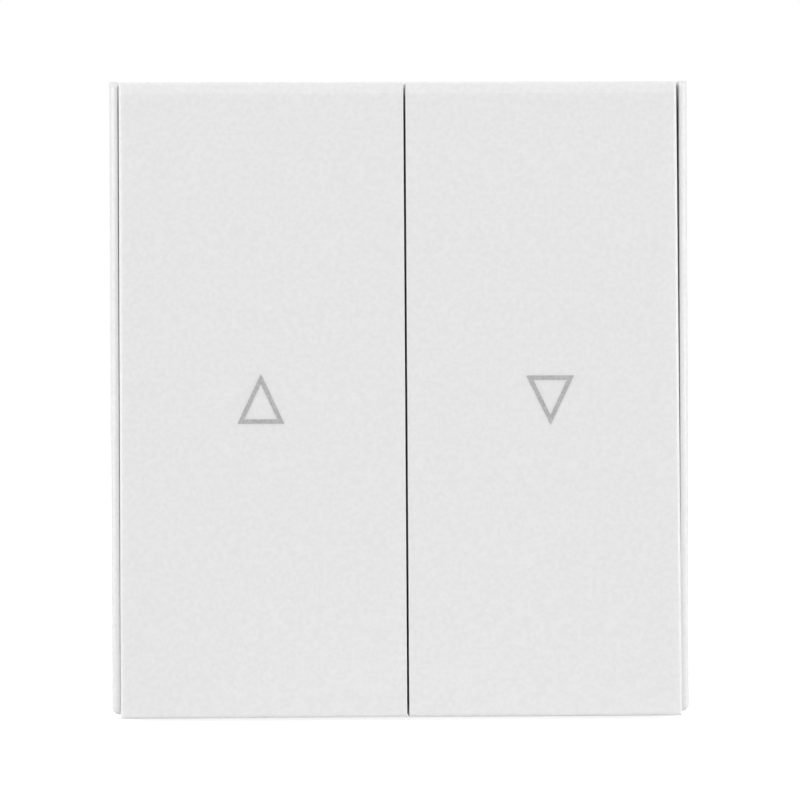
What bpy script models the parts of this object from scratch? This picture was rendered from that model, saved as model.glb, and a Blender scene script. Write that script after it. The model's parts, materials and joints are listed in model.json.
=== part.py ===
"""Two-rocker insert that raises and lowers a roller shutter.

The front faces -Y, +X is to the right and +Z is up. The origin is the middle of the plane at the back of
the front frame, which lies against the support frame in the wall. Every size below is in millimetres.
"""

import math
from dataclasses import dataclass

import bmesh
import bpy
from mathutils import Vector

MM = 0.001

# Front of the insert
MODULE_PITCH = 22.5
FRAME_WIDTH = 2 * MODULE_PITCH
FRONT_HEIGHT = 49.5
FRAME_SHORT_AT_FOOT = 0.3
FRAME_FOOT_RADIUS = 0.6
SIDE_WALL = 0.65
SIDE_WALL_FRONT = -7.2
FLANGE_THICKNESS = 2.6
REBATE_DEPTH = 0.8
REBATE_CLEARANCE = 0.2

# Rockers
ROCKER_TILT = math.radians(3.5)
PIVOT_Y = -4.6
PIVOT_TO_FACE = 4.6
LEFT_GAP = 0.07
RIGHT_GAP = 0.22
CENTRE_GAP = 0.16
SPLIT_OFFSET = 0.42
FACE_WALL = 1.8
SKIRT_WALL = 1.3
SKIRT_DEPTH_AT_ENDS = 4.65
SKIRT_DEPTH_AT_PIVOT = 6.1
TOP_BAND_HEIGHT = 0.95
TOP_BAND_SETBACK = 0.25
FOOT_EDGE_RADIUS = 0.3
FOOT_CORNER_RADIUS = 0.5
FRONT_EDGE_BEVEL = 0.2
STIFFENER_WALL = 1.0
STIFFENER_HEIGHT = 1.6

# Rocker bearings
PIN_RADIUS = 1.0
PIN_CLEARANCE = 0.2
PIN_ENGAGEMENT = 1.8
LUG_RADIUS = 1.7
LUG_WALL = 1.2
LUG_ROOT_HALF = 4.2
LUG_TO_POST = 0.3
POST_INNER_X = 5.6
POST_WALL = 2.0
POST_RING = 0.7
POST_ROOT_HALF = 3.0
POST_MOUTH_HALF = 0.85

# Plunger
TUBE_RADIUS = 3.5
TUBE_BORE_RADIUS = 2.6
TUBE_LENGTH = 13.0
TUBE_BLIND_WALL = 2.1
FIN_WALL = 1.0
FIN_REACH = 4.4
PLUNGER_CLEARANCE = 0.15
PLUNGER_WALL = 0.4
PLUNGER_SKIRT = 5.2
PLUNGER_HEAD = 2.5
PLUNGER_TIP_RADIUS = 1.6
PLUNGER_GAP = 0.29
WINDOW_WIDTH = 9.0
WINDOW_HEIGHT = 12.0
WINDOW_RADIUS = 1.5
SPRING_WIRE_RADIUS = 0.25
SPRING_TURNS = 8
SPRING_STEPS_A_TURN = 12
SPRING_CLEARANCE = 0.15

# See-saws and contacts
SEESAW_TILT = math.radians(6.0)
SEESAW_END_MARGIN = 1.6
SEESAW_HALF_WIDTH = 2.4
SEESAW_SHEET = 0.8
SEESAW_FLANGE_WALL = 0.5
SEESAW_FLANGE_HEIGHT = 1.0
SEESAW_FLANGE_TO_RIVET = 2.5
SEESAW_LUG_HALF = 0.5
SEESAW_LUG_REACH = 1.2
EAR_GAP = 0.3
EAR_HALF = 1.8
EAR_NOTCH_CLEARANCE = 0.06
EAR_RISE = 0.9
STRIP_SHEET = 0.8
STRIP_FRONT_Y = 12.0
STRIP_TO_FLOOR = 0.1
RIVET_TO_CHAMBER = 1.7
RIVET_RADIUS = 1.4
RIVET_HEAD = 0.5
RIVET_SHANK_RADIUS = 0.65
RIVET_UPSET_RADIUS = 0.95
RIVET_UPSET = 0.3
RIVET_SEAT_GAP = 0.05
CONTACT_GAP = 0.15
PAD_HALF_WIDTH = 2.2
PAD_HALF_LENGTH = 1.4
BRIDGE_HALF_WIDTH = 1.8

# Terminals
TERMINAL_PLATE_BEHIND_FLOOR = 5.1
TERMINAL_PLATE_HALF_X = 3.9
CHAMBER_CLEARANCE = 0.2
FEED_LEG_WIDTH = 2.3
FEED_LEG_TO_PAD = 1.45
WIRE_SPACE = 2.8
WIRE_OFFSET = 2.9
WIRE_PORT_RADIUS = 1.6
WIRE_FUNNEL_RADIUS = 1.95
WIRE_FUNNEL_DEPTH = 0.5
CLAMP_HALF_X = 4.4
CLAMP_HALF_Z = 3.3
CLAMP_SHEET = 1.0
CLAMP_GROOVE_HALF = 1.0
CLAMP_GROOVE_DEPTH = 0.4
SCREW_SHANK_RADIUS = 1.6
SCREW_HOLE_CLEARANCE = 0.25
SCREW_HEAD_RADIUS = 2.8
SCREW_HEAD = 2.0
SCREW_BEYOND_PLATE = 1.9
SCREW_SEAT_GAP = 0.15
SCREW_SLOT_HALF = 0.4
SCREW_SLOT_DEPTH = 1.0
SCREW_HEAD_CLEARANCE = 0.45

# Housing
SEAT_BORDER = 4.75
HOUSING_WALL = 1.6
HOUSING_CORNER_RADIUS = 1.2
HOUSING_BACK_CHAMFER = 0.8
HOUSING_SEAT_GAP = 0.3
PARTITION_WALL = 1.0
BRIDGE_NOTCH_CLEARANCE = 0.4
CHAMBER_HALF_X = 4.8
CHAMBER_HALF_Z = 4.3
SCREW_ACCESS_RADIUS = 3.1
CORE_RIB = 1.2
CORE_CELLS = 4
CORE_CORNER_RADIUS = 0.6

# Snap arms that hold the housing, and tabs that snap into the support frame
ARM_WALL = 1.0
ARM_HALF = 3.0
ARM_REACH = 8.2
ARM_NOSE = 0.8
ARM_NOSE_Y = 5.6
ARM_CLEARANCE = 0.3
TAB_WALL = 1.2
TAB_HALF = 4.0
TAB_CLEARANCE = 0.7
TAB_REACH = 8.0
TAB_TOOTH = 1.4
TAB_TOOTH_Y = 2.2
TAB_TOOTH_LENGTH = 3.6
SUNK_ROOT = 0.4
CUT_OVERRUN = 1.0

# Derived places
FRAME_HALF = FRAME_WIDTH / 2
FRAME_TOP = FRONT_HEIGHT / 2
FRAME_FOOT = -FRONT_HEIGHT / 2 + FRAME_SHORT_AT_FOOT
CHANNEL_HALF = FRAME_HALF - SIDE_WALL
ROCKER_LEFT = -CHANNEL_HALF + LEFT_GAP
ROCKER_RIGHT = CHANNEL_HALF - RIGHT_GAP
ROCKER_DROP = PIVOT_TO_FACE * math.sin(ROCKER_TILT)
HOUSING_HALF_X = FRAME_HALF - ARM_WALL - ARM_CLEARANCE
HOUSING_HALF_Z = FRONT_HEIGHT / 2 - SEAT_BORDER
HOUSING_INNER_X = HOUSING_HALF_X - HOUSING_WALL
HOUSING_INNER_Z = HOUSING_HALF_Z - HOUSING_WALL
TERMINAL_Z = HOUSING_INNER_Z - CHAMBER_HALF_Z
CHAMBER_EDGE_Z = TERMINAL_Z - CHAMBER_HALF_Z
RISER_Z = CHAMBER_EDGE_Z + CHAMBER_CLEARANCE
RIVET_ARM = CHAMBER_EDGE_Z - RIVET_TO_CHAMBER
FLOOR_Y = STRIP_FRONT_Y + STRIP_SHEET + STRIP_TO_FLOOR
SEESAW_Y = (
    STRIP_FRONT_Y
    - 2 * RIVET_HEAD
    - 2 * RIVET_SEAT_GAP
    - CONTACT_GAP
    - SEESAW_SHEET / 2
    - RIVET_ARM * math.tan(SEESAW_TILT)
)
PLUNGER_TIP_CENTRE = (
    (SEESAW_Y - PIVOT_Y) * math.cos(SEESAW_TILT)
    - SEESAW_SHEET / 2
    - PLUNGER_TIP_RADIUS
    - PLUNGER_GAP
) / math.cos(ROCKER_TILT + SEESAW_TILT)
PLUNGER_RADIUS = TUBE_BORE_RADIUS - PLUNGER_CLEARANCE
TUBE_BLIND_Y = -PIVOT_TO_FACE + TUBE_BLIND_WALL
TERMINAL_PLATE_BACK_Y = FLOOR_Y + TERMINAL_PLATE_BEHIND_FLOOR
CLAMP_FRONT_Y = TERMINAL_PLATE_BACK_Y + WIRE_SPACE
SCREW_HEAD_Y = CLAMP_FRONT_Y + CLAMP_SHEET + SCREW_SEAT_GAP
HOUSING_BACK_Y = SCREW_HEAD_Y + SCREW_HEAD + SCREW_HEAD_CLEARANCE + HOUSING_WALL
WIRE_Y = TERMINAL_PLATE_BACK_Y + WIRE_SPACE / 2
FEED_TERMINAL_X = -HOUSING_INNER_X + CHAMBER_CLEARANCE + CHAMBER_HALF_X
FEED_LEG_RIGHT = -MODULE_PITCH / 2 - PAD_HALF_WIDTH - FEED_LEG_TO_PAD
FEED_LEG_LEFT = FEED_LEG_RIGHT - FEED_LEG_WIDTH


@dataclass(frozen=True)
class Side:
    """One of the two switches: its name, its module's middle and the edges of its rocker."""

    name: str
    middle: float
    left: float
    right: float


UP = Side("up", -MODULE_PITCH / 2, ROCKER_LEFT, SPLIT_OFFSET - CENTRE_GAP / 2)
DOWN = Side("down", MODULE_PITCH / 2, SPLIT_OFFSET + CENTRE_GAP / 2, ROCKER_RIGHT)


# Shapes


def place(axis, along, first, second):
    """Point in metres from a distance along an axis and the other two coordinates in X, Y, Z order."""
    values = {
        "X": (along, first, second),
        "Y": (first, along, second),
        "Z": (first, second, along),
    }[axis]
    return Vector(values) * MM


def solid(name, mesh_data):
    """Object from a bmesh whose faces are turned outwards."""
    bmesh.ops.recalc_face_normals(mesh_data, faces=mesh_data.faces)
    mesh = bpy.data.meshes.new(name)
    mesh_data.to_mesh(mesh)
    mesh_data.free()
    made = bpy.data.objects.new(name, mesh)
    bpy.context.scene.collection.objects.link(made)
    return made


def prism_mesh(outline, axis, start, end):
    """Closed bmesh with this outline, extruded along an axis."""
    mesh_data = bmesh.new()
    ring = [mesh_data.verts.new(place(axis, start, a, b)) for a, b in outline]
    cap = mesh_data.faces.new(ring)
    extruded = bmesh.ops.extrude_face_region(mesh_data, geom=[cap])["geom"]
    moved = [item for item in extruded if isinstance(item, bmesh.types.BMVert)]
    bmesh.ops.translate(mesh_data, verts=moved, vec=place(axis, end - start, 0, 0))
    return mesh_data


def prism(name, outline, axis, start, end):
    """Closed solid with this outline, extruded along an axis."""
    return solid(name, prism_mesh(outline, axis, start, end))


def block(name, x, y, z):
    """Solid between three pairs of limits."""
    return prism(name, rectangle(x, z), "Y", y[0], y[1])


def turned(name, profile, segments):
    """Solid turned about the Y axis from a profile of radius and Y, from its front end to its back."""
    mesh_data = bmesh.new()
    ring = [mesh_data.verts.new(place("Y", y, radius, 0)) for radius, y in profile]
    edges = [mesh_data.edges.new(pair) for pair in zip(ring, ring[1:])]
    bmesh.ops.spin(
        mesh_data,
        geom=ring + edges,
        cent=(0, 0, 0),
        axis=(0, 1, 0),
        angle=math.tau,
        steps=segments,
    )
    bmesh.ops.remove_doubles(mesh_data, verts=mesh_data.verts, dist=0.001 * MM)
    return solid(name, mesh_data)


def rod(name, axis, centre, radius, start, end, segments=16):
    """Round bar along an axis; the centre gives the other two coordinates."""
    return prism(name, arc(centre, radius, 0, math.tau, segments)[:-1], axis, start, end)


def rectangle(first, second):
    """Outline between two pairs of limits."""
    return [
        (first[0], second[0]),
        (first[1], second[0]),
        (first[1], second[1]),
        (first[0], second[1]),
    ]


def arc(centre, radius, start, end, steps):
    """Points on an arc, both ends included."""
    points = []
    for step in range(steps + 1):
        angle = start + (end - start) * step / steps
        points.append((centre[0] + radius * math.cos(angle), centre[1] + radius * math.sin(angle)))
    return points


def rounded(first, second, radii, steps=4):
    """Rectangle with a radius at each corner: low-low, high-low, high-high and low-high."""
    corners = [
        (first[0], second[0], 1, 1),
        (first[1], second[0], -1, 1),
        (first[1], second[1], -1, -1),
        (first[0], second[1], 1, -1),
    ]
    points = []
    for number, ((a, b, toward_a, toward_b), radius) in enumerate(zip(corners, radii)):
        if radius == 0:
            points.append((a, b))
            continue
        centre = (a + toward_a * radius, b + toward_b * radius)
        start = math.pi + number * math.pi / 2
        points += arc(centre, radius, start, start + math.pi / 2, steps)
    return points


def combine(body, tool, operation):
    """Join a tool to a body, or cut or trim the body with it; the tool stays as a hidden guide."""
    tool.hide_render = True
    tool.display_type = "WIRE"
    tool.parent = body
    step = body.modifiers.new(tool.name, "BOOLEAN")
    step.operation = operation
    step.solver = "EXACT"
    step.object = tool


def finish(body, material, smooth=False):
    """Give a body its material, and smooth shading where it is round."""
    body.data.materials.append(material)
    if smooth:
        body.data.shade_smooth()
        body.data.set_sharp_from_angle(angle=math.radians(35))
    return body


def material(name, colour, roughness, metallic=0.0):
    """Principled material with a grey or coloured base."""
    made = bpy.data.materials.new(name)
    made.use_nodes = True
    shader = made.node_tree.nodes["Principled BSDF"]
    shader.inputs["Base Color"].default_value = (*colour, 1.0)
    shader.inputs["Roughness"].default_value = roughness
    shader.inputs["Metallic"].default_value = metallic
    made.diffuse_color = (*colour, 1.0)
    return made


# Front frame


def post_outline():
    """Bearing post seen from the side: an open ring that the rocker's pin snaps into from the front."""
    hole = PIN_RADIUS + PIN_CLEARANCE
    ring = hole + POST_RING
    root_y = -FLANGE_THICKNESS + SUNK_ROOT
    mouth_outside = math.asin(POST_MOUTH_HALF / ring)
    mouth_inside = math.asin(POST_MOUTH_HALF / hole)
    centre = (PIVOT_Y, 0)
    outside_low = arc(centre, ring, -math.pi / 2, -math.pi + mouth_outside, 6)
    inside = arc(centre, hole, math.pi + mouth_inside, 3 * math.pi - mouth_inside, 16)
    outside_high = arc(centre, ring, math.pi - mouth_outside, math.pi / 2, 6)
    return [(root_y, -POST_ROOT_HALF)] + outside_low + inside + outside_high + [(root_y, POST_ROOT_HALF)]


def arm_outline(side):
    """Snap arm beside the housing, seen from above, with its nose turned in; side is -1 or 1."""
    inner = HOUSING_HALF_X + ARM_CLEARANCE
    outer = inner + ARM_WALL
    points = [
        (inner, -SUNK_ROOT),
        (outer, -SUNK_ROOT),
        (outer, ARM_REACH),
        (inner, ARM_REACH),
        (inner - ARM_NOSE, ARM_NOSE_Y + ARM_NOSE),
        (inner - ARM_NOSE, ARM_NOSE_Y),
        (inner, ARM_NOSE_Y),
    ]
    return [(side * x, y) for x, y in points]


def tab_outline(side):
    """Tab behind the seat, seen from the side, with a tooth turned out; side is -1 or 1."""
    inner = HOUSING_HALF_Z + TAB_CLEARANCE
    outer = inner + TAB_WALL
    points = [
        (-SUNK_ROOT, inner),
        (TAB_REACH, inner),
        (TAB_REACH, outer - TAB_WALL / 3),
        (TAB_TOOTH_Y + TAB_TOOTH_LENGTH, outer),
        (TAB_TOOTH_Y, outer + TAB_TOOTH),
        (TAB_TOOTH_Y, outer),
        (-SUNK_ROOT, outer),
    ]
    return [(y, side * z) for y, z in points]


def build_front_frame(plastic):
    """Carrier with side walls beside the rockers, bearing posts, snap arms and snap tabs."""
    limits_z = (FRAME_FOOT, FRAME_TOP)
    radii = (FRAME_FOOT_RADIUS, FRAME_FOOT_RADIUS, 0, 0)
    outline = rounded((-FRAME_HALF, FRAME_HALF), limits_z, radii)
    frame = prism("front_frame", outline, "Y", SIDE_WALL_FRONT, 0)
    over = FRONT_HEIGHT
    channel_y = (SIDE_WALL_FRONT - over, -FLANGE_THICKNESS)
    channel = block("channel", (-CHANNEL_HALF, CHANNEL_HALF), channel_y, (-over, over))
    combine(frame, channel, "DIFFERENCE")
    rebate_x = HOUSING_HALF_X + REBATE_CLEARANCE
    rebate_z = HOUSING_HALF_Z + REBATE_CLEARANCE
    rebate = block("rebate", (-rebate_x, rebate_x), (-REBATE_DEPTH, over), (-rebate_z, rebate_z))
    combine(frame, rebate, "DIFFERENCE")
    for side in (UP, DOWN):
        half_x = WINDOW_WIDTH / 2
        half_z = WINDOW_HEIGHT / 2
        window_y = (-FLANGE_THICKNESS - CUT_OVERRUN, CUT_OVERRUN)
        window = rounded(
            (side.middle - half_x, side.middle + half_x), (-half_z, half_z), (WINDOW_RADIUS,) * 4
        )
        combine(frame, prism("window_" + side.name, window, "Y", *window_y), "DIFFERENCE")
        for hand in (-1, 1):
            start = side.middle + hand * POST_INNER_X
            post = prism(f"post_{side.name}_{hand}", post_outline(), "X", start, start + hand * POST_WALL)
            combine(frame, post, "UNION")
    for hand in (-1, 1):
        for height in (-HOUSING_HALF_Z / 2, HOUSING_HALF_Z / 2):
            arm = prism(
                f"arm_{hand}_{height:.0f}", arm_outline(hand), "Z", height - ARM_HALF, height + ARM_HALF
            )
            combine(frame, arm, "UNION")
        for side in (UP, DOWN):
            tab = prism(
                f"tab_{side.name}_{hand}",
                tab_outline(hand),
                "X",
                side.middle - TAB_HALF,
                side.middle + TAB_HALF,
            )
            combine(frame, tab, "UNION")
    return finish(frame, plastic)


# Rockers, seen from their pivots: the face lies at -Y


def rocker_outline():
    """Rocker from the side: top band, flat face, rounded foot and a skirt deepest at the pivot."""
    top = FRONT_HEIGHT / 2 - ROCKER_DROP
    foot = -FRONT_HEIGHT / 2 - ROCKER_DROP
    face = -PIVOT_TO_FACE
    ends = face + SKIRT_DEPTH_AT_ENDS
    deepest = face + SKIRT_DEPTH_AT_PIVOT
    foot_centre = (face + FOOT_EDGE_RADIUS, foot + FOOT_EDGE_RADIUS)
    return (
        [(ends, top), (face + TOP_BAND_SETBACK, top), (face, top - TOP_BAND_HEIGHT)]
        + arc(foot_centre, FOOT_EDGE_RADIUS, math.pi, 3 * math.pi / 2, 4)
        + [(ends, foot), (deepest, 0)]
    )


def lug_outline():
    """Lug that carries a bearing pin: a wide root on the face and a round end at the pivot."""
    root_y = -PIVOT_TO_FACE + FACE_WALL - SUNK_ROOT
    return [(root_y, LUG_ROOT_HALF), (root_y, -LUG_ROOT_HALF)] + arc(
        (0, 0), LUG_RADIUS, -math.pi / 2.5, math.pi / 2.5, 8
    )


def build_rocker(side, plastic):
    """Hollow rocker with its pins, stiffeners and plunger tube; its origin is on the pivot."""
    left = side.left - side.middle
    right = side.right - side.middle
    face = -PIVOT_TO_FACE
    mesh_data = prism_mesh(rocker_outline(), "X", left, right)
    front_edges = [
        edge
        for edge in mesh_data.edges
        if abs(edge.verts[0].co.x - edge.verts[1].co.x) < MM / 100
        and max(vert.co.y for vert in edge.verts) < (face + FOOT_EDGE_RADIUS) * MM + MM / 100
    ]
    bmesh.ops.bevel(
        mesh_data, geom=front_edges, offset=FRONT_EDGE_BEVEL * MM, segments=2, profile=0.5, affect="EDGES"
    )
    rocker = solid("rocker_" + side.name, mesh_data)
    rocker.location = (side.middle * MM, PIVOT_Y * MM, 0)
    rocker.rotation_euler = (-ROCKER_TILT, 0, 0)
    over = FRONT_HEIGHT
    foot = -FRONT_HEIGHT / 2 - ROCKER_DROP
    top = FRONT_HEIGHT / 2 - ROCKER_DROP
    corner = (FOOT_CORNER_RADIUS, 0) if side is UP else (0, FOOT_CORNER_RADIUS)
    trim_outline = rounded((left, right), (foot, over), corner + (0, 0))
    combine(rocker, prism("foot_corner_" + side.name, trim_outline, "Y", -over, over), "INTERSECT")
    hollow = block(
        "hollow_" + side.name,
        (left + SKIRT_WALL, right - SKIRT_WALL),
        (face + FACE_WALL, over),
        (foot + SKIRT_WALL, top - SKIRT_WALL),
    )
    combine(rocker, hollow, "DIFFERENCE")
    inner = (left + SKIRT_WALL - SUNK_ROOT, right - SKIRT_WALL + SUNK_ROOT)
    inside_face = face + FACE_WALL
    for height in (-FRONT_HEIGHT / 4, FRONT_HEIGHT / 4):
        stiffener = block(
            f"stiffener_{side.name}_{height:.0f}",
            inner,
            (inside_face - SUNK_ROOT, inside_face + STIFFENER_HEIGHT),
            (height - STIFFENER_WALL / 2, height + STIFFENER_WALL / 2),
        )
        combine(rocker, stiffener, "UNION")
    lug_start = POST_INNER_X + POST_WALL + LUG_TO_POST
    for hand in (-1, 1):
        label = f"{side.name}_{hand}"
        lug = prism("lug_" + label, lug_outline(), "X", hand * lug_start, hand * (lug_start + LUG_WALL))
        combine(rocker, lug, "UNION")
        pin_end = POST_INNER_X + POST_WALL - PIN_ENGAGEMENT
        pin = rod("pin_" + label, "X", (0, 0), PIN_RADIUS, hand * pin_end, hand * (lug_start + SUNK_ROOT))
        combine(rocker, pin, "UNION")
        fin_root = TUBE_RADIUS - SUNK_ROOT
        fin_outline = [
            (inside_face - SUNK_ROOT, hand * fin_root),
            (inside_face - SUNK_ROOT, hand * (fin_root + FIN_REACH)),
            (inside_face, hand * (fin_root + FIN_REACH)),
            (inside_face + FIN_REACH, hand * fin_root),
        ]
        fin = prism("fin_" + label, fin_outline, "X", -FIN_WALL / 2, FIN_WALL / 2)
        combine(rocker, fin, "UNION")
    tube_end = inside_face - SUNK_ROOT + TUBE_LENGTH
    tube = rod("tube_" + side.name, "Y", (0, 0), TUBE_RADIUS, inside_face - SUNK_ROOT, tube_end, 24)
    combine(rocker, tube, "UNION")
    bore = rod("bore_" + side.name, "Y", (0, 0), TUBE_BORE_RADIUS, TUBE_BLIND_Y, over, 24)
    combine(rocker, bore, "DIFFERENCE")
    return finish(rocker, plastic)


# Plungers


def plunger_profile():
    """Cup over the spring with a rounded tip that slides on the see-saw."""
    inner = PLUNGER_RADIUS - PLUNGER_WALL
    head = PLUNGER_TIP_CENTRE - PLUNGER_HEAD + PLUNGER_TIP_RADIUS / 2
    tip = arc((0, PLUNGER_TIP_CENTRE), PLUNGER_TIP_RADIUS, math.radians(20), math.pi / 2, 5)
    return [
        (0, head),
        (inner, head),
        (inner, PLUNGER_SKIRT),
        (PLUNGER_RADIUS, PLUNGER_SKIRT),
        (PLUNGER_RADIUS, head + PLUNGER_WALL),
    ] + tip


def build_plunger(side, rocker, plastic):
    """Spring-loaded plunger in the rocker's tube."""
    plunger = turned(side.name + "_plunger", plunger_profile(), 20)
    plunger.parent = rocker
    return finish(plunger, plastic, smooth=True)


def build_spring(side, rocker, steel):
    """Compression spring between the bottom of the tube and the plunger."""
    coil_radius = PLUNGER_RADIUS - PLUNGER_WALL - SPRING_CLEARANCE - SPRING_WIRE_RADIUS
    start = TUBE_BLIND_Y + SPRING_WIRE_RADIUS + SPRING_CLEARANCE
    head = PLUNGER_TIP_CENTRE - PLUNGER_HEAD + PLUNGER_TIP_RADIUS / 2
    end = head - SPRING_WIRE_RADIUS - SPRING_CLEARANCE
    points = SPRING_TURNS * SPRING_STEPS_A_TURN
    curve = bpy.data.curves.new(side.name + "_spring", "CURVE")
    curve.dimensions = "3D"
    curve.bevel_depth = SPRING_WIRE_RADIUS * MM
    curve.bevel_resolution = 1
    curve.use_fill_caps = True
    curve.resolution_u = 1
    wire = curve.splines.new("POLY")
    wire.points.add(points)
    for number, point in enumerate(wire.points):
        angle = math.tau * number / SPRING_STEPS_A_TURN
        along = start + (end - start) * number / points
        place_on_coil = place("Y", along, coil_radius * math.cos(angle), coil_radius * math.sin(angle))
        point.co = (*place_on_coil, 1)
    spring = bpy.data.objects.new(side.name + "_spring", curve)
    bpy.context.scene.collection.objects.link(spring)
    spring.parent = rocker
    return finish(spring, steel)


# See-saws and rivets


def build_seesaw(side, rivet_heights, copper):
    """Channel-shaped contact lever; its origin is on the line where its lugs rock."""
    ends = (SEESAW_HALF_WIDTH * 0.6,) * 4
    sheet = (-SEESAW_SHEET / 2, SEESAW_SHEET / 2)
    width = (-SEESAW_HALF_WIDTH, SEESAW_HALF_WIDTH)
    half_length = RIVET_ARM + SEESAW_END_MARGIN
    outline = rounded(width, (-half_length, half_length), ends, 3)
    seesaw = prism(side.name + "_seesaw", outline, "Y", *sheet)
    seesaw.location = (side.middle * MM, SEESAW_Y * MM, 0)
    seesaw.rotation_euler = (SEESAW_TILT, 0, 0)
    reach = SEESAW_HALF_WIDTH + SEESAW_LUG_REACH
    lugs = block("lugs_" + side.name, (-reach, reach), sheet, (-SEESAW_LUG_HALF, SEESAW_LUG_HALF))
    combine(seesaw, lugs, "UNION")
    flange_half = RIVET_ARM - SEESAW_FLANGE_TO_RIVET
    for hand in (-1, 1):
        flange_x = (hand * SEESAW_HALF_WIDTH, hand * (SEESAW_HALF_WIDTH - SEESAW_FLANGE_WALL))
        flange_outline = [
            (0, -flange_half),
            (-SEESAW_SHEET / 2 - SEESAW_FLANGE_HEIGHT, SEESAW_FLANGE_HEIGHT - flange_half),
            (-SEESAW_SHEET / 2 - SEESAW_FLANGE_HEIGHT, flange_half - SEESAW_FLANGE_HEIGHT),
            (0, flange_half),
        ]
        flange = prism(f"flange_{side.name}_{hand}", flange_outline, "X", *flange_x)
        combine(seesaw, flange, "UNION")
    for height in rivet_heights:
        combine(seesaw, rivet_hole(f"hole_{side.name}_{height}", 0, 0, height), "DIFFERENCE")
    return finish(seesaw, copper)


def rivet_hole(name, x, y, z):
    """Cutter for a rivet's shank."""
    radius = RIVET_SHANK_RADIUS + RIVET_SEAT_GAP
    return rod(name, "Y", (x, z), radius, y - SEESAW_SHEET, y + SEESAW_SHEET, 12)


def build_rivet(name, sheet, silver):
    """Silver contact rivet through a sheet whose middle is the origin; its contact head is at +Y."""
    seat = sheet / 2 + RIVET_SEAT_GAP
    profile = [
        (0, -seat - RIVET_UPSET),
        (RIVET_UPSET_RADIUS, -seat - RIVET_UPSET),
        (RIVET_UPSET_RADIUS, -seat),
        (RIVET_SHANK_RADIUS, -seat),
        (RIVET_SHANK_RADIUS, seat),
        (RIVET_RADIUS, seat),
        (RIVET_RADIUS, seat + RIVET_HEAD * 0.6),
        (RIVET_RADIUS * 0.6, seat + RIVET_HEAD),
        (0, seat + RIVET_HEAD),
    ]
    return finish(turned(name, profile, 12), silver, smooth=True)


def build_seesaw_rivet(name, seesaw, height, silver):
    """Rivet near one end of a see-saw, its contact head at the back."""
    rivet = build_rivet(name, SEESAW_SHEET, silver)
    rivet.parent = seesaw
    rivet.location = place("Y", 0, 0, height)


def build_fixed_rivet(name, middle, height, silver):
    """Rivet in a fixed contact, turned so that its contact head faces the see-saw."""
    rivet = build_rivet(name, STRIP_SHEET, silver)
    rivet.location = place("Y", STRIP_FRONT_Y + STRIP_SHEET / 2, middle, height)
    rivet.rotation_euler = (math.pi, 0, 0)


# Contact strips


def flat_strip(name, x, z):
    """Flat stretch of strip on the chamber's floor."""
    return block(name, x, (STRIP_FRONT_Y, STRIP_FRONT_Y + STRIP_SHEET), z)


def tail_outline(start, side):
    """Strip bent back into a terminal chamber, from the side; side is -1 below the middle, 1 above."""
    front = STRIP_FRONT_Y
    back = TERMINAL_PLATE_BACK_Y
    riser = RISER_Z + STRIP_SHEET
    points = [
        (front, start),
        (front, riser),
        (back - STRIP_SHEET, riser),
        (back - STRIP_SHEET, riser + STRIP_SHEET),
        (back, riser + STRIP_SHEET),
        (back, RISER_Z),
        (front + STRIP_SHEET, RISER_Z),
        (front + STRIP_SHEET, start),
    ]
    return [(y, side * z) for y, z in points]


def terminal_plate(name, middle, side):
    """Flat end of a strip behind which the wire is clamped."""
    back = TERMINAL_PLATE_BACK_Y
    limits_x = (middle - TERMINAL_PLATE_HALF_X, middle + TERMINAL_PLATE_HALF_X)
    end = HOUSING_INNER_Z - 2 * CHAMBER_CLEARANCE
    return block(name, limits_x, (back - STRIP_SHEET, back), (side * RISER_Z, side * end))


def screw_hole(name, middle, height):
    """Cutter for a terminal screw's shank."""
    radius = SCREW_SHANK_RADIUS + SCREW_HOLE_CLEARANCE
    ends = (STRIP_FRONT_Y + STRIP_SHEET, HOUSING_BACK_Y)
    return rod(name, "Y", (middle, height), radius, *ends)


def cradle(name, middle):
    """Base with two upright ears, each notched for a lug of the see-saw, open to the front."""
    inner = SEESAW_HALF_WIDTH + EAR_GAP
    outer = inner + STRIP_SHEET
    crest = SEESAW_Y - EAR_RISE
    base = STRIP_FRONT_Y
    outline = [
        (middle - outer, base + STRIP_SHEET),
        (middle - outer, crest),
        (middle - inner, crest),
        (middle - inner, base),
        (middle + inner, base),
        (middle + inner, crest),
        (middle + outer, crest),
        (middle + outer, base + STRIP_SHEET),
    ]
    return prism(name, outline, "Z", -EAR_HALF, EAR_HALF)


def cradle_notch(name, middle):
    """Cutter for the notches in both ears."""
    lug_radius = math.hypot(SEESAW_LUG_HALF, SEESAW_SHEET / 2) + EAR_NOTCH_CLEARANCE
    reach = SEESAW_HALF_WIDTH + EAR_GAP + 2 * STRIP_SHEET
    limits_y = (SEESAW_Y - 2 * EAR_RISE, SEESAW_Y + lug_radius)
    return block(name, (middle - reach, middle + reach), limits_y, (-lug_radius, lug_radius))


def build_working_contact(side, copper):
    """Fixed contact under the upper end of a see-saw, running back to its terminal."""
    limits_x = (side.middle - PAD_HALF_WIDTH, side.middle + PAD_HALF_WIDTH)
    outline = tail_outline(RIVET_ARM - PAD_HALF_LENGTH, 1)
    contact = prism(side.name + "_working_contact", outline, "X", *limits_x)
    combine(contact, terminal_plate("plate_" + side.name, side.middle, 1), "UNION")
    seat_y = STRIP_FRONT_Y + STRIP_SHEET / 2
    combine(contact, rivet_hole("pad_" + side.name, side.middle, seat_y, RIVET_ARM), "DIFFERENCE")
    combine(contact, screw_hole("thread_" + side.name, side.middle, TERMINAL_Z), "DIFFERENCE")
    return finish(contact, copper)


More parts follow.
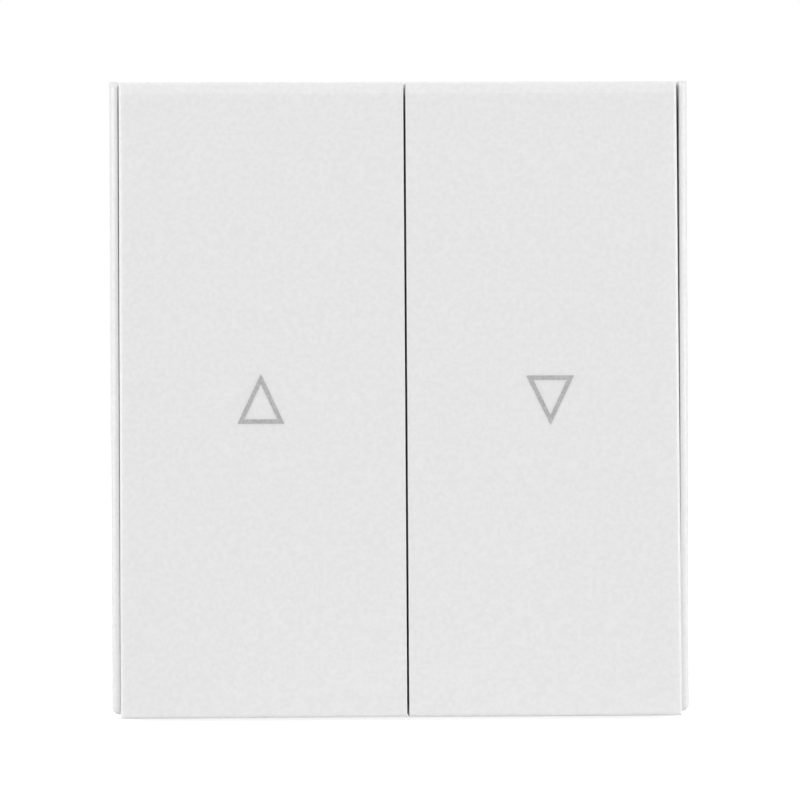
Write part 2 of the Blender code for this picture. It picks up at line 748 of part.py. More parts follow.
def build_common_contact(copper):
    """Cradle of the left see-saw and the leg that runs down to the feed terminal."""
    contact = cradle("common_contact", UP.middle)
    reach = SEESAW_HALF_WIDTH + EAR_GAP
    shelf = flat_strip("feed_shelf", (FEED_LEG_LEFT, UP.middle - reach), (-EAR_HALF, EAR_HALF))
    combine(contact, shelf, "UNION")
    leg = prism("feed_leg", tail_outline(0, -1), "X", FEED_LEG_LEFT, FEED_LEG_RIGHT)
    combine(contact, leg, "UNION")
    combine(contact, terminal_plate("feed_plate", FEED_TERMINAL_X, -1), "UNION")
    combine(contact, cradle_notch("notch_up", UP.middle), "DIFFERENCE")
    combine(contact, screw_hole("feed_thread", FEED_TERMINAL_X, -TERMINAL_Z), "DIFFERENCE")
    return finish(contact, copper)


def build_link_strip(copper):
    """Rest contact of the left switch, carried across to the cradle of the right one."""
    strip = cradle("link_strip", DOWN.middle)
    low = -RIVET_ARM - PAD_HALF_LENGTH
    high = -RIVET_ARM + PAD_HALF_LENGTH
    right = DOWN.middle + BRIDGE_HALF_WIDTH
    combine(strip, flat_strip("bridge", (UP.middle - PAD_HALF_WIDTH, right), (low, high)), "UNION")
    neck_x = (DOWN.middle - BRIDGE_HALF_WIDTH, right)
    combine(strip, flat_strip("neck", neck_x, (-RIVET_ARM, 0)), "UNION")
    combine(strip, cradle_notch("notch_down", DOWN.middle), "DIFFERENCE")
    seat_y = STRIP_FRONT_Y + STRIP_SHEET / 2
    combine(strip, rivet_hole("pad_rest", UP.middle, seat_y, -RIVET_ARM), "DIFFERENCE")
    return finish(strip, copper)


# Terminals


def build_terminal_screw(name, middle, height, steel):
    """Screw whose head faces the back, with a crossed slot."""
    tip = TERMINAL_PLATE_BACK_Y - STRIP_SHEET - SCREW_BEYOND_PLATE - SCREW_HEAD_Y
    profile = [
        (0, tip),
        (SCREW_SHANK_RADIUS * 0.7, tip),
        (SCREW_SHANK_RADIUS, tip + SCREW_SHANK_RADIUS * 0.3),
        (SCREW_SHANK_RADIUS, 0),
        (SCREW_HEAD_RADIUS, 0),
        (SCREW_HEAD_RADIUS, SCREW_HEAD * 0.75),
        (SCREW_HEAD_RADIUS * 0.85, SCREW_HEAD),
        (0, SCREW_HEAD),
    ]
    screw = turned(name, profile, 24)
    screw.location = place("Y", SCREW_HEAD_Y, middle, height)
    long = (-SCREW_HEAD_RADIUS, SCREW_HEAD_RADIUS)
    short = (-SCREW_SLOT_HALF, SCREW_SLOT_HALF)
    depth = (SCREW_HEAD - SCREW_SLOT_DEPTH, 2 * SCREW_HEAD)
    combine(screw, block(name + "_slot", long, depth, short), "DIFFERENCE")
    short_arm = (-SCREW_HEAD_RADIUS * 0.6, SCREW_HEAD_RADIUS * 0.6)
    combine(screw, block(name + "_cross", short, depth, short_arm), "DIFFERENCE")
    return finish(screw, steel, smooth=True)


def build_clamp_plate(name, middle, height, steel):
    """Plate under the screw head, with a groove over each of the two wires."""
    front = CLAMP_FRONT_Y
    outline = [(middle - CLAMP_HALF_X, front + CLAMP_SHEET), (middle - CLAMP_HALF_X, front)]
    for hand in (-1, 1):
        wire = middle + hand * WIRE_OFFSET
        outline += [
            (wire - CLAMP_GROOVE_HALF, front),
            (wire, front + CLAMP_GROOVE_DEPTH),
            (wire + CLAMP_GROOVE_HALF, front),
        ]
    outline += [(middle + CLAMP_HALF_X, front), (middle + CLAMP_HALF_X, front + CLAMP_SHEET)]
    plate = prism(name, outline, "Z", height - CLAMP_HALF_Z, height + CLAMP_HALF_Z)
    combine(plate, screw_hole(name + "_hole", middle, height), "DIFFERENCE")
    return finish(plate, steel)


# Housing


def core_limits(chambers):
    """Cells that keep the walls even: a row across the middle, and one between each pair of chambers."""
    middle_z = CHAMBER_EDGE_Z - HOUSING_WALL
    width = (2 * HOUSING_INNER_X - (CORE_CELLS - 1) * CORE_RIB) / CORE_CELLS
    cells = []
    for count in range(CORE_CELLS):
        left = -HOUSING_INNER_X + count * (width + CORE_RIB)
        cells.append(((left, left + width), (-middle_z, middle_z)))
    for hand in (-1, 1):
        left, right = sorted(middle for _, middle, height in chambers if hand * height > 0)
        beside = CHAMBER_HALF_X + HOUSING_WALL
        limits_z = sorted((hand * CHAMBER_EDGE_Z, hand * HOUSING_INNER_Z))
        cells.append(((left + beside, right - beside), tuple(limits_z)))
    return cells


def build_housing(plastic, terminals, fixed_rivets):
    """Moulded base: two switch pockets, terminal chambers behind them, screw holes and wire ports."""
    outer_x = (-HOUSING_HALF_X, HOUSING_HALF_X)
    outer_z = (-HOUSING_HALF_Z, HOUSING_HALF_Z)
    front = -REBATE_DEPTH + HOUSING_SEAT_GAP
    outline = rounded(outer_x, outer_z, (HOUSING_CORNER_RADIUS,) * 4, 3)
    mesh_data = prism_mesh(outline, "Y", front, HOUSING_BACK_Y)
    back_rim = [
        edge
        for edge in mesh_data.edges
        if min(vert.co.y for vert in edge.verts) > (HOUSING_BACK_Y - 0.01) * MM
    ]
    bmesh.ops.bevel(
        mesh_data, geom=back_rim, offset=HOUSING_BACK_CHAMFER * MM, segments=1, profile=0.5, affect="EDGES"
    )
    housing = solid("housing", mesh_data)
    partition = PARTITION_WALL / 2
    open_y = front - CUT_OVERRUN
    for hand in (-1, 1):
        pocket_x = (hand * partition, hand * HOUSING_INNER_X)
        pocket_z = (-HOUSING_INNER_Z, HOUSING_INNER_Z)
        pocket = block(f"pocket_{hand}", pocket_x, (open_y, FLOOR_Y), pocket_z)
        combine(housing, pocket, "DIFFERENCE")
    notch_half = PAD_HALF_LENGTH + BRIDGE_NOTCH_CLEARANCE
    notch = block(
        "bridge_notch",
        (-PARTITION_WALL, PARTITION_WALL),
        (STRIP_FRONT_Y - BRIDGE_NOTCH_CLEARANCE, FLOOR_Y),
        (-RIVET_ARM - notch_half, -RIVET_ARM + notch_half),
    )
    combine(housing, notch, "DIFFERENCE")
    chambers = [(name, middle, height) for name, middle, height in terminals]
    chambers.append(("spare", DOWN.middle, -TERMINAL_Z))
    for name, middle, height in chambers:
        chamber = block(
            name + "_chamber",
            (middle - CHAMBER_HALF_X, middle + CHAMBER_HALF_X),
            (FLOOR_Y - CUT_OVERRUN, HOUSING_BACK_Y - HOUSING_WALL),
            (height - CHAMBER_HALF_Z, height + CHAMBER_HALF_Z),
        )
        combine(housing, chamber, "DIFFERENCE")
    for count, (limits_x, limits_z) in enumerate(core_limits(chambers)):
        outline = rounded(limits_x, limits_z, (CORE_CORNER_RADIUS,) * 4, 3)
        core = prism(f"core_{count}", outline, "Y", FLOOR_Y + HOUSING_WALL, HOUSING_BACK_Y + CUT_OVERRUN)
        combine(housing, core, "DIFFERENCE")
    for name, middle, height in terminals:
        access_y = (HOUSING_BACK_Y - 2 * HOUSING_WALL, HOUSING_BACK_Y + CUT_OVERRUN)
        access = rod(name + "_access", "Y", (middle, height), SCREW_ACCESS_RADIUS, *access_y, segments=24)
        combine(housing, access, "DIFFERENCE")
        out = math.copysign(1, height)
        for hand in (-1, 1):
            centre = (middle + hand * WIRE_OFFSET, WIRE_Y)
            outside = out * (HOUSING_HALF_Z + CUT_OVERRUN)
            label = f"{name}_port_{hand}"
            combine(housing, rod(label, "Z", centre, WIRE_PORT_RADIUS, height, outside), "DIFFERENCE")
            funnel_start = out * (HOUSING_HALF_Z - WIRE_FUNNEL_DEPTH)
            funnel = rod(label + "_funnel", "Z", centre, WIRE_FUNNEL_RADIUS, funnel_start, outside)
            combine(housing, funnel, "DIFFERENCE")
    for name, middle, height in fixed_rivets:
        radius = RIVET_UPSET_RADIUS + RIVET_UPSET
        recess = rod(
            name + "_recess",
            "Y",
            (middle, height),
            radius,
            FLOOR_Y - CUT_OVERRUN,
            FLOOR_Y + 2 * RIVET_UPSET,
            12,
        )
        combine(housing, recess, "DIFFERENCE")
    nose_x = HOUSING_HALF_X + ARM_CLEARANCE - ARM_NOSE - ARM_CLEARANCE
    for hand in (-1, 1):
        for height in (-HOUSING_HALF_Z / 2, HOUSING_HALF_Z / 2):
            catch = block(
                f"catch_{hand}_{height:.0f}",
                (hand * nose_x, hand * (HOUSING_HALF_X + CUT_OVERRUN)),
                (ARM_NOSE_Y - ARM_CLEARANCE, ARM_REACH + ARM_CLEARANCE),
                (height - ARM_HALF - ARM_CLEARANCE, height + ARM_HALF + ARM_CLEARANCE),
            )
            combine(housing, catch, "DIFFERENCE")
    return finish(housing, plastic)


def build():
    """Clear the scene and build every piece."""
    for old in list(bpy.data.objects):
        bpy.data.objects.remove(old)
    white = material("white_polycarbonate", (0.80, 0.80, 0.80), 0.35)
    grey = material("grey_polyamide", (0.42, 0.43, 0.44), 0.5)
    slippery = material("natural_acetal", (0.78, 0.77, 0.72), 0.4)
    copper = material("tinned_brass", (0.72, 0.55, 0.28), 0.3, 1.0)
    silver = material("contact_silver", (0.85, 0.85, 0.86), 0.25, 1.0)
    steel = material("zinc_plated_steel", (0.66, 0.67, 0.68), 0.3, 1.0)

    terminals = [
        ("up_terminal", UP.middle, TERMINAL_Z),
        ("down_terminal", DOWN.middle, TERMINAL_Z),
        ("feed_terminal", FEED_TERMINAL_X, -TERMINAL_Z),
    ]
    fixed_rivets = [
        ("up_fixed_rivet", UP.middle, RIVET_ARM),
        ("rest_fixed_rivet", UP.middle, -RIVET_ARM),
        ("down_fixed_rivet", DOWN.middle, RIVET_ARM),
    ]
    seesaw_rivets = {
        UP: {"working": RIVET_ARM, "rest": -RIVET_ARM},
        DOWN: {"working": RIVET_ARM},
    }

    build_front_frame(white)
    build_housing(grey, terminals, fixed_rivets)
    for side in (UP, DOWN):
        rocker = build_rocker(side, white)
        build_plunger(side, rocker, slippery)
        build_spring(side, rocker, steel)
        heights = seesaw_rivets[side]
        seesaw = build_seesaw(side, heights.values(), copper)
        for use, height in heights.items():
            build_seesaw_rivet(f"{side.name}_seesaw_{use}_rivet", seesaw, height, silver)
        build_working_contact(side, copper)
    build_common_contact(copper)
    build_link_strip(copper)
    for name, middle, height in fixed_rivets:
        build_fixed_rivet(name, middle, height, silver)
    for name, middle, height in terminals:
        build_terminal_screw(name + "_screw", middle, height, steel)
        build_clamp_plate(name + "_clamp", middle, height, steel)


build()
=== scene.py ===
"""Looks of a two-module roller shutter insert: its fine shapes, finishes, light and camera.

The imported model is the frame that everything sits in. The front faces -Y, +X is to the right and +Z is up,
and the origin is the middle of the plane at the back of the front frame. Sizes are in millimetres and turn
to metres where a mesh is made.
"""

import json
import logging
import math
from collections.abc import Callable
from dataclasses import dataclass, field
from enum import Enum
from functools import cache

import bmesh
import bpy
from mathutils import Euler, Matrix, Vector

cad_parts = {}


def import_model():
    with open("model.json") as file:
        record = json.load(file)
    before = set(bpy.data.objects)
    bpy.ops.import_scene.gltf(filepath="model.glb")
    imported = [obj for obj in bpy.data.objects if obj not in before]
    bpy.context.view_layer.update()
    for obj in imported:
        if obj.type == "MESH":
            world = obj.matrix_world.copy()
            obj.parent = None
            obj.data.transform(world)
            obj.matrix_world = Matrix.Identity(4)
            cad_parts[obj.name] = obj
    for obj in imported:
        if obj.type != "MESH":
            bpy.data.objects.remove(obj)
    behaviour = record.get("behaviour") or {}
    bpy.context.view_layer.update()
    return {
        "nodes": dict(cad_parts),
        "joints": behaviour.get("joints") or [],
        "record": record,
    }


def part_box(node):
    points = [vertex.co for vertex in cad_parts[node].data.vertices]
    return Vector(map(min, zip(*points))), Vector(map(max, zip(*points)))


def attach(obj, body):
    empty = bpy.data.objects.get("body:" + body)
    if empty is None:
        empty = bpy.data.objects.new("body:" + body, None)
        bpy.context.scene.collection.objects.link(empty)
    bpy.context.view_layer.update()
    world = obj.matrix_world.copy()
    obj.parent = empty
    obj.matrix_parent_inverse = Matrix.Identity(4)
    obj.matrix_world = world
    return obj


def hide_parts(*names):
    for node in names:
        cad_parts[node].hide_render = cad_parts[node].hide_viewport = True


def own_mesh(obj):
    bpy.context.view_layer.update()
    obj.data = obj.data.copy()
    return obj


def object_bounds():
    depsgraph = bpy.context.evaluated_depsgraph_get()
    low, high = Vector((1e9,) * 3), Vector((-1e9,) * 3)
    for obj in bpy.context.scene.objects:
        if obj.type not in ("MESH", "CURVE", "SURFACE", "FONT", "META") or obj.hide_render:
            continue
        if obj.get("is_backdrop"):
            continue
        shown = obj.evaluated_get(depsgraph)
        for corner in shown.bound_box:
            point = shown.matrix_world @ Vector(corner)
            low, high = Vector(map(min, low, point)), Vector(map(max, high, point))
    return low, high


LOG = logging.getLogger("shutter_switch")
MM = 0.001
HALF_TURN = math.pi
# How close two values count as one, how close two corners do, and how far a cutter stands out
TOUCH = 0.01
DOUBLED = 0.001
OVER = 1.0
# The cosine from which a direction counts as along an axis, and the bend up to which faces count as flat
ALONG = 0.9
FLAT = math.radians(0.05)

Limits = tuple[float, float]
Point = tuple[float, float, float]
Place = tuple[Point, Point]
Colour = tuple[float, float, float, float]
Test = Callable[[Vector, Vector], bool]
Socket = bpy.types.NodeSocket


class Axis(Enum):
    """The three directions of the frame."""

    X = 0
    Y = 1
    Z = 2


class Element(Enum):
    """What a step picks on a mesh, by the name of its select mode."""

    FACE = "FACE"
    EDGE = "EDGE"
    CORNER = "VERT"


class Joining(Enum):
    """How one shape is combined with another."""

    WELD = "UNION"
    CUT = "DIFFERENCE"
    TRIM = "INTERSECT"


class Direction(Enum):
    """Which way a rocker sends the shutter; the value names its solids."""

    UP = "up"
    DOWN = "down"


# Tests that choose elements by their middle, in millimetres, and by their direction


def near(axis: Axis, value: float) -> Test:
    """Choose what lies at a value along an axis."""
    return lambda at, _: abs(at[axis.value] - value) < TOUCH


def off(axis: Axis, *values: float) -> Test:
    """Choose what lies at none of the values along an axis."""
    return lambda at, _: all(abs(at[axis.value] - value) >= TOUCH for value in values)


def above(axis: Axis, value: float) -> Test:
    """Choose what lies past a value along an axis."""
    return lambda at, _: at[axis.value] > value


def below(axis: Axis, value: float) -> Test:
    """Choose what lies before a value along an axis."""
    return lambda at, _: at[axis.value] < value


def along(axis: Axis) -> Test:
    """Choose edges that run along an axis, either way."""
    return lambda _, run: abs(run[axis.value]) > ALONG


def facing(axis: Axis, sign: int) -> Test:
    """Choose faces that look along an axis, forwards or backwards."""
    return lambda _, normal: normal[axis.value] * sign > ALONG


# Bench


def spot(x: float = 0.0, y: float = 0.0, z: float = 0.0, turn: float = 0.0) -> Place:
    """Get a place from its coordinates and its turn about Y."""
    return ((x, y, z), (0, turn, 0))


def clear_selection() -> None:
    """Leave edit mode and deselect every object."""
    if bpy.context.mode != "OBJECT":
        bpy.ops.object.mode_set(mode="OBJECT")
    bpy.ops.object.select_all(action="DESELECT")


class Workpiece:
    """A mesh on the bench. Each method is one step of work, with its sizes in millimetres."""

    def __init__(self, name: str) -> None:
        """Take over the object that was added last and apply its place.

        Args:
            name: the piece's name.
        """
        self.obj: bpy.types.Object = bpy.context.active_object
        self.obj.name = name
        self.obj.data.name = name
        self.apply_place()

    @classmethod
    def box(cls, name: str, x: Limits, y: Limits, z: Limits) -> "Workpiece":
        """Add a block between three pairs of limits.

        Args:
            name: the piece's name.
            x: limits along X, in any order.
            y: limits along Y.
            z: limits along Z.

        Returns:
            The block.
        """
        clear_selection()
        pairs = (x, y, z)
        bpy.ops.mesh.primitive_cube_add(
            size=MM,
            location=[sum(pair) / 2 * MM for pair in pairs],
            scale=[abs(pair[1] - pair[0]) for pair in pairs],
        )
        return cls(name)

    @classmethod
    def rod(
        cls, name: str, axis: Axis, radii: float | Limits, span: Limits, sides: int = 48, at: Limits = (0, 0)
    ) -> "Workpiece":
        """Add a round bar or a cone along an axis.

        Args:
            name: the piece's name.
            axis: the direction of the bar.
            radii: its radius, or those at its low and at its high end.
            span: low and high end along the axis.
            sides: facets around.
            at: the other two coordinates of its middle, in the order X, Y, Z.

        Returns:
            The bar.
        """
        clear_selection()
        low, high = radii if isinstance(radii, tuple) else (radii, radii)
        place = list(at)
        place.insert(axis.value, sum(span) / 2)
        turn = {Axis.X: (0, HALF_TURN / 2, 0), Axis.Y: (-HALF_TURN / 2, 0, 0), Axis.Z: (0, 0, 0)}[axis]
        bpy.ops.mesh.primitive_cone_add(
            vertices=sides,
            radius1=low * MM,
            radius2=high * MM,
            depth=(span[1] - span[0]) * MM,
            location=[value * MM for value in place],
            rotation=turn,
        )
        return cls(name)

    @classmethod
    def ring(cls, name: str, radius: float, at: Point, sides: int, filled: bool) -> "Workpiece":
        """Add a circle across the Y axis.

        Args:
            name: the piece's name.
            radius: its radius.
            at: its middle.
            sides: corners around.
            filled: whether it is a disc, and not a loop of edges.

        Returns:
            The circle.
        """
        clear_selection()
        bpy.ops.mesh.primitive_circle_add(
            vertices=sides,
            radius=radius * MM,
            fill_type="NGON" if filled else "NOTHING",
            location=[value * MM for value in at],
            rotation=(HALF_TURN / 2, 0, 0),
        )
        return cls(name)

    def activate(self) -> None:
        """Make this the only selected object."""
        clear_selection()
        self.obj.select_set(True)
        bpy.context.view_layer.objects.active = self.obj

    def edit(self) -> bmesh.types.BMesh:
        """Enter edit mode on this piece alone and get its mesh.

        Returns:
            The mesh in edit mode.
        """
        if bpy.context.mode != "EDIT_MESH" or bpy.context.active_object is not self.obj:
            self.activate()
            bpy.ops.object.mode_set(mode="EDIT")
        return bmesh.from_edit_mesh(self.obj.data)

    def apply_place(self) -> None:
        """Bring the object's place, turn and scale into its mesh."""
        self.activate()
        bpy.ops.object.transform_apply(location=True, rotation=True, scale=True)

    def apply_step(self, kind: str, **settings: object) -> "Workpiece":
        """Add one modifier and apply it.

        Args:
            kind: the modifier's type.
            settings: its properties.

        Returns:
            This workpiece.
        """
        clear_selection()
        step = self.obj.modifiers.new("step", kind)
        for name, value in settings.items():
            setattr(step, name, value)
        self.activate()
        bpy.ops.object.modifier_apply(modifier=step.name)
        return self

    def pick(self, element: Element, *tests: Test) -> "Workpiece":
        """Select the elements that pass every test, and nothing else.

        Args:
            element: which kind of element is tested.
            tests: tests of an element's middle, in millimetres, and of its direction, which is the normal of
                a face or corner and the run of an edge. With no test, all are selected.

        Returns:
            This workpiece.
        """
        mesh = self.edit()
        bpy.ops.mesh.select_mode(type=element.value)
        bpy.ops.mesh.select_all(action="DESELECT")
        if element is Element.FACE:
            rows = [(face, face.calc_center_median(), face.normal) for face in mesh.faces]
        elif element is Element.EDGE:
            ends = [(edge, edge.verts[0].co, edge.verts[1].co) for edge in mesh.edges]
            rows = [(edge, (start + end) / 2, (end - start).normalized()) for edge, start, end in ends]
        else:
            rows = [(corner, corner.co, corner.normal) for corner in mesh.verts]
        for item, middle, direction in rows:
            if all(test(middle / MM, direction) for test in tests):
                item.select_set(True)
        mesh.select_flush_mode()
        bmesh.update_edit_mesh(self.obj.data)
        return self

    def move(self, by: Point) -> "Workpiece":
        """Shift what is selected."""
        bpy.ops.transform.translate(value=[value * MM for value in by])
        return self

    def stretch(self, factors: Point) -> "Workpiece":
        """Scale what is selected about the origin."""
        bpy.ops.transform.resize(value=factors, center_override=(0, 0, 0))
        return self

    def draw_out(self, by: Point) -> "Workpiece":
        """Extrude what is selected."""
        bpy.ops.mesh.extrude_region_move(TRANSFORM_OT_translate={"value": [value * MM for value in by]})
        return self

    def inset(self, width: float) -> "Workpiece":
        """Inset the selected faces by the same width all round."""
        bpy.ops.mesh.inset(thickness=width * MM, use_even_offset=True)
        return self

    def round_off(self, radius: float, segments: int = 3) -> "Workpiece":
        """Bevel the selected edges; one segment gives a chamfer."""
        bpy.ops.mesh.bevel(offset=radius * MM, segments=segments, profile=0.5, affect="EDGES")
        return self

    def round_rim(self, axis: Axis, sign: int, radius: float, segments: int) -> "Workpiece":
        """Bevel the edges around the faces that look along an axis.

        Args:
            axis: the axis.
            sign: 1 for faces that look forwards along it, and -1 for those that look backwards.
            radius: size of the bevel.
            segments: its facets; one gives a chamfer.

        Returns:
            This workpiece.
        """
        self.pick(Element.FACE, facing(axis, sign))
        bpy.ops.mesh.region_to_loop()
        bpy.ops.mesh.select_mode(type="EDGE")
        return self.round_off(radius, segments)

    def split(self, axis: Axis, at: float) -> "Workpiece":
        """Bisect the mesh with a plane across an axis; both halves stay.

        Args:
            axis: the axis.
            at: where the plane crosses it.

        Returns:
            This workpiece.
        """
        self.pick(Element.FACE)
        normal = [0.0, 0.0, 0.0]
        normal[axis.value] = 1.0
        bpy.ops.mesh.bisect(plane_co=[value * at * MM for value in normal], plane_no=normal)
        return self

    def wind(self, pitch: float, turns: int, steps: int) -> "Workpiece":
        """Draw the mesh along a helix about the Y axis.

        Args:
            pitch: rise of one turn.
            turns: how many turns.
            steps: stretches of a turn.

        Returns:
            This workpiece.
        """
        return self.apply_step(
            "SCREW",
            axis="Y",
            screw_offset=pitch * MM,
            iterations=turns,
            steps=steps,
            render_steps=steps,
            use_smooth_shade=False,
        )

    def close_ends(self) -> "Workpiece":
        """Merge doubled corners, fill the open ends and turn the faces outwards.

        Returns:
            This workpiece.
        """
        self.pick(Element.FACE)
        bpy.ops.mesh.remove_doubles(threshold=DOUBLED * MM)
        bpy.ops.mesh.fill_holes(sides=0)
        return self.face_outwards()

    def join(self, *others: "Workpiece") -> "Workpiece":
        """Take other meshes into this one as they are.

        Args:
            others: the pieces that have them; they are used up.

        Returns:
            This workpiece.
        """
        self.activate()
        for other in others:
            other.obj.select_set(True)
        bpy.ops.object.join()
        return self

    def combine(self, joining: Joining, *tools: "Workpiece") -> "Workpiece":
        """Combine this shape with others, one after another; they are used up.

        Args:
            joining: what is done with each of them.
            tools: the other shapes.

        Returns:
            This workpiece.
        """
        for tool in tools:
            self.apply_step("BOOLEAN", operation=joining.value, solver="EXACT", object=tool.obj)
            bpy.data.meshes.remove(tool.obj.data)
        return self

    def weld(self, *tools: "Workpiece") -> "Workpiece":
        """Weld other shapes on."""
        return self.combine(Joining.WELD, *tools)

    def cut(self, *tools: "Workpiece") -> "Workpiece":
        """Cut other shapes out."""
        return self.combine(Joining.CUT, *tools)

    def face_outwards(self) -> "Workpiece":
        """Turn every face outwards.

        Returns:
            This workpiece.
        """
        self.pick(Element.FACE)
        bpy.ops.mesh.normals_make_consistent(inside=False)
        return self

    def clean(self) -> "Workpiece":
        """Merge doubled corners and drop needless edges on flat faces.

        Returns:
            This workpiece.
        """
        self.pick(Element.FACE)
        bpy.ops.mesh.remove_doubles(threshold=DOUBLED * MM)
        bpy.ops.mesh.dissolve_limited(angle_limit=FLAT)
        return self.face_outwards()

    def place(self, at: Point, turn: Point = (0, 0, 0)) -> "Workpiece":
        """Turn and shift the whole piece, and bring that into its mesh.

        Args:
            at: where its origin goes.
            turn: turns about X, Y and Z, in radians.

        Returns:
            This workpiece.
        """
        clear_selection()
        self.obj.rotation_euler = Euler(turn)
        self.obj.location = Vector(at) * MM
        self.apply_place()
        return self

    def copies(self, *places: Place) -> list["Workpiece"]:
        """Set several of this piece, each with a mesh of its own.

        Args:
            places: where each one goes and how it is turned.

        Returns:
            One piece for each place; the last is this one itself.
        """
        made = []
        for at, turn in places[:-1]:
            self.activate()
            bpy.ops.object.duplicate(linked=False)
            made.append(Workpiece(self.obj.name + "_copy").place(at, turn))
        return [*made, self.place(*places[-1])]

    def turned_pairs(self, *middles: Point) -> list["Workpiece"]:
        """Set this piece, and one that is turned half about Y, at each of some middles."""
        return self.copies(*((middle, (0, turn, 0)) for middle in middles for turn in (HALF_TURN, 0)))

    def smooth(self, angle: float = 35.0) -> "Workpiece":
        """Shade round stretches smooth and keep flat faces flat.

        Args:
            angle: edges sharper than this, in degrees, stay sharp.

        Returns:
            This workpiece.
        """
        self.activate()
        bpy.ops.object.shade_smooth_by_angle(angle=math.radians(angle))
        return self.apply_step("WEIGHTED_NORMAL", keep_sharp=True, weight=90)

    def hand_over(self, name: str, finish: "Finish", body: str, slot: str, *nodes: str) -> "Workpiece":
        """Name and dress the finished piece, hang it on its body and report it.

        Args:
            name: its final name.
            finish: the finish it gets.
            body: the body that it rides on.
            slot: the record's material slot; not used.
            nodes: the solids that it stands for.

        Returns:
            This workpiece.
        """
        clear_selection()
        self.obj.name = name
        self.obj.data.name = name
        self.obj.data.materials.clear()
        self.obj.data.materials.append(finish.material())
        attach(self.obj, body)
        if nodes:
            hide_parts(*nodes)
        triangles = sum(len(face.vertices) - 2 for face in self.obj.data.polygons)
        LOG.info("%s: %d triangles, rides on %s", name, triangles, body)
        return self


# Finishes


def linear(code: str) -> Colour:
    """Turn an sRGB hex colour to the linear values that shaders take.

    Args:
        code: six hex digits.

    Returns:
        Red, green, blue and an alpha of 1.
    """
    values = []
    for start in (0, 2, 4):
        share = int(code[start : start + 2], 16) / 255
        values.append(share / 12.92 if share <= 0.04045 else ((share + 0.055) / 1.055) ** 2.4)
    return (*values, 1.0)


def add_node(
    tree: bpy.types.NodeTree, kind: str, settings: dict | None = None, **sockets: object
) -> bpy.types.Node:
    """Add a node with its settings, values and links.

    Args:
        tree: the node tree.
        kind: the node's type.
        settings: properties of the node.
        sockets: for each input, by its name with underscores for spaces or by in0, in1 and so on, an output
            socket to link or a value to set.

    Returns:
        The new node.
    """
    node = tree.nodes.new(kind)
    for name, value in (settings or {}).items():
        setattr(node, name, value)
    for name, value in sockets.items():
        numbered = name[:2] == "in" and name[2:].isdigit()
        socket = node.inputs[int(name[2:]) if numbered else name.replace("_", " ")]
        if isinstance(value, Socket):
            tree.links.new(value, socket)
        else:
            socket.default_value = value
    return node


class Shading:
    """A new material of one finish, and the steps that build its pattern."""

    def __init__(self, finish: "Finish") -> None:
        """Make the material with its Object coordinates, in metres.

        Args:
            finish: the finish that it shows.
        """
        self.finish = finish
        self.material: bpy.types.Material = bpy.data.materials.new(finish.name)
        self.material.use_nodes = True
        self.material.diffuse_color = linear(finish.colour)
        self.tree: bpy.types.NodeTree = self.material.node_tree
        self.shader: bpy.types.Node = self.tree.nodes["Principled BSDF"]
        self.where: Socket = add_node(self.tree, "ShaderNodeTexCoord").outputs["Object"]

    def stretched(self, *factors: float) -> Socket:
        """Get the coordinates scaled along each axis, so that a pattern is stretched where it is below 1."""
        return add_node(self.tree, "ShaderNodeMapping", Vector=self.where, Scale=factors).outputs["Vector"]

    def grain(self, spacing: float, detail: float = 2.0, where: Socket | None = None) -> Socket:
        """Get noise whose features stand about this many millimetres apart.

        Args:
            spacing: distance between features.
            detail: octaves of finer noise.
            where: coordinates to take in place of the material's own.

        Returns:
            The noise, from 0 to 1 around 0.5.
        """
        place = self.where if where is None else where
        scale = 1 / (spacing * MM)
        noise = add_node(self.tree, "ShaderNodeTexNoise", Vector=place, Scale=scale, Detail=detail)
        return noise.outputs["Fac"]

    def tint(self, by: Socket) -> None:
        """Let a pattern take the base colour to the finish's second colour as it rises.

        Args:
            by: the pattern.
        """
        low, high = self.finish.reach
        share = add_node(self.tree, "ShaderNodeMapRange", Value=by, From_Min=low, From_Max=high)
        ends = {"in6": linear(self.finish.colour), "in7": linear(self.finish.second)}
        mix = add_node(self.tree, "ShaderNodeMix", {"data_type": "RGBA"}, in0=share.outputs[0], **ends)
        self.tree.links.new(mix.outputs[2], self.shader.inputs["Base Color"])

    def gloss(self, by: Socket) -> None:
        """Let a pattern swing the roughness about its mean.

        Args:
            by: the pattern.
        """
        mean, swing = self.finish.roughness, self.finish.swing
        ends = {"From_Min": 0.3, "From_Max": 0.7, "To_Min": mean - swing, "To_Max": mean + swing}
        level = add_node(self.tree, "ShaderNodeMapRange", Value=by, **ends)
        self.tree.links.new(level.outputs["Result"], self.shader.inputs["Roughness"])

    def relief(self, by: Socket, height: float) -> None:
        """Let a pattern raise the surface by up to this many millimetres."""
        bump = add_node(self.tree, "ShaderNodeBump", Height=by, Strength=1.0, Distance=height * MM)
        self.tree.links.new(bump.outputs["Normal"], self.shader.inputs["Normal"])

    def depth(self, weight: float, reach: float, shares: Point) -> None:
        """Let light wander under the surface.

        Args:
            weight: share of the light that goes in.
            reach: how far it gets, in millimetres.
            shares: how far red, green and blue get, as shares of the reach.
        """
        self.shader.inputs["Subsurface Weight"].default_value = weight
        self.shader.inputs["Subsurface Radius"].default_value = shares
        self.shader.inputs["Subsurface Scale"].default_value = reach * MM


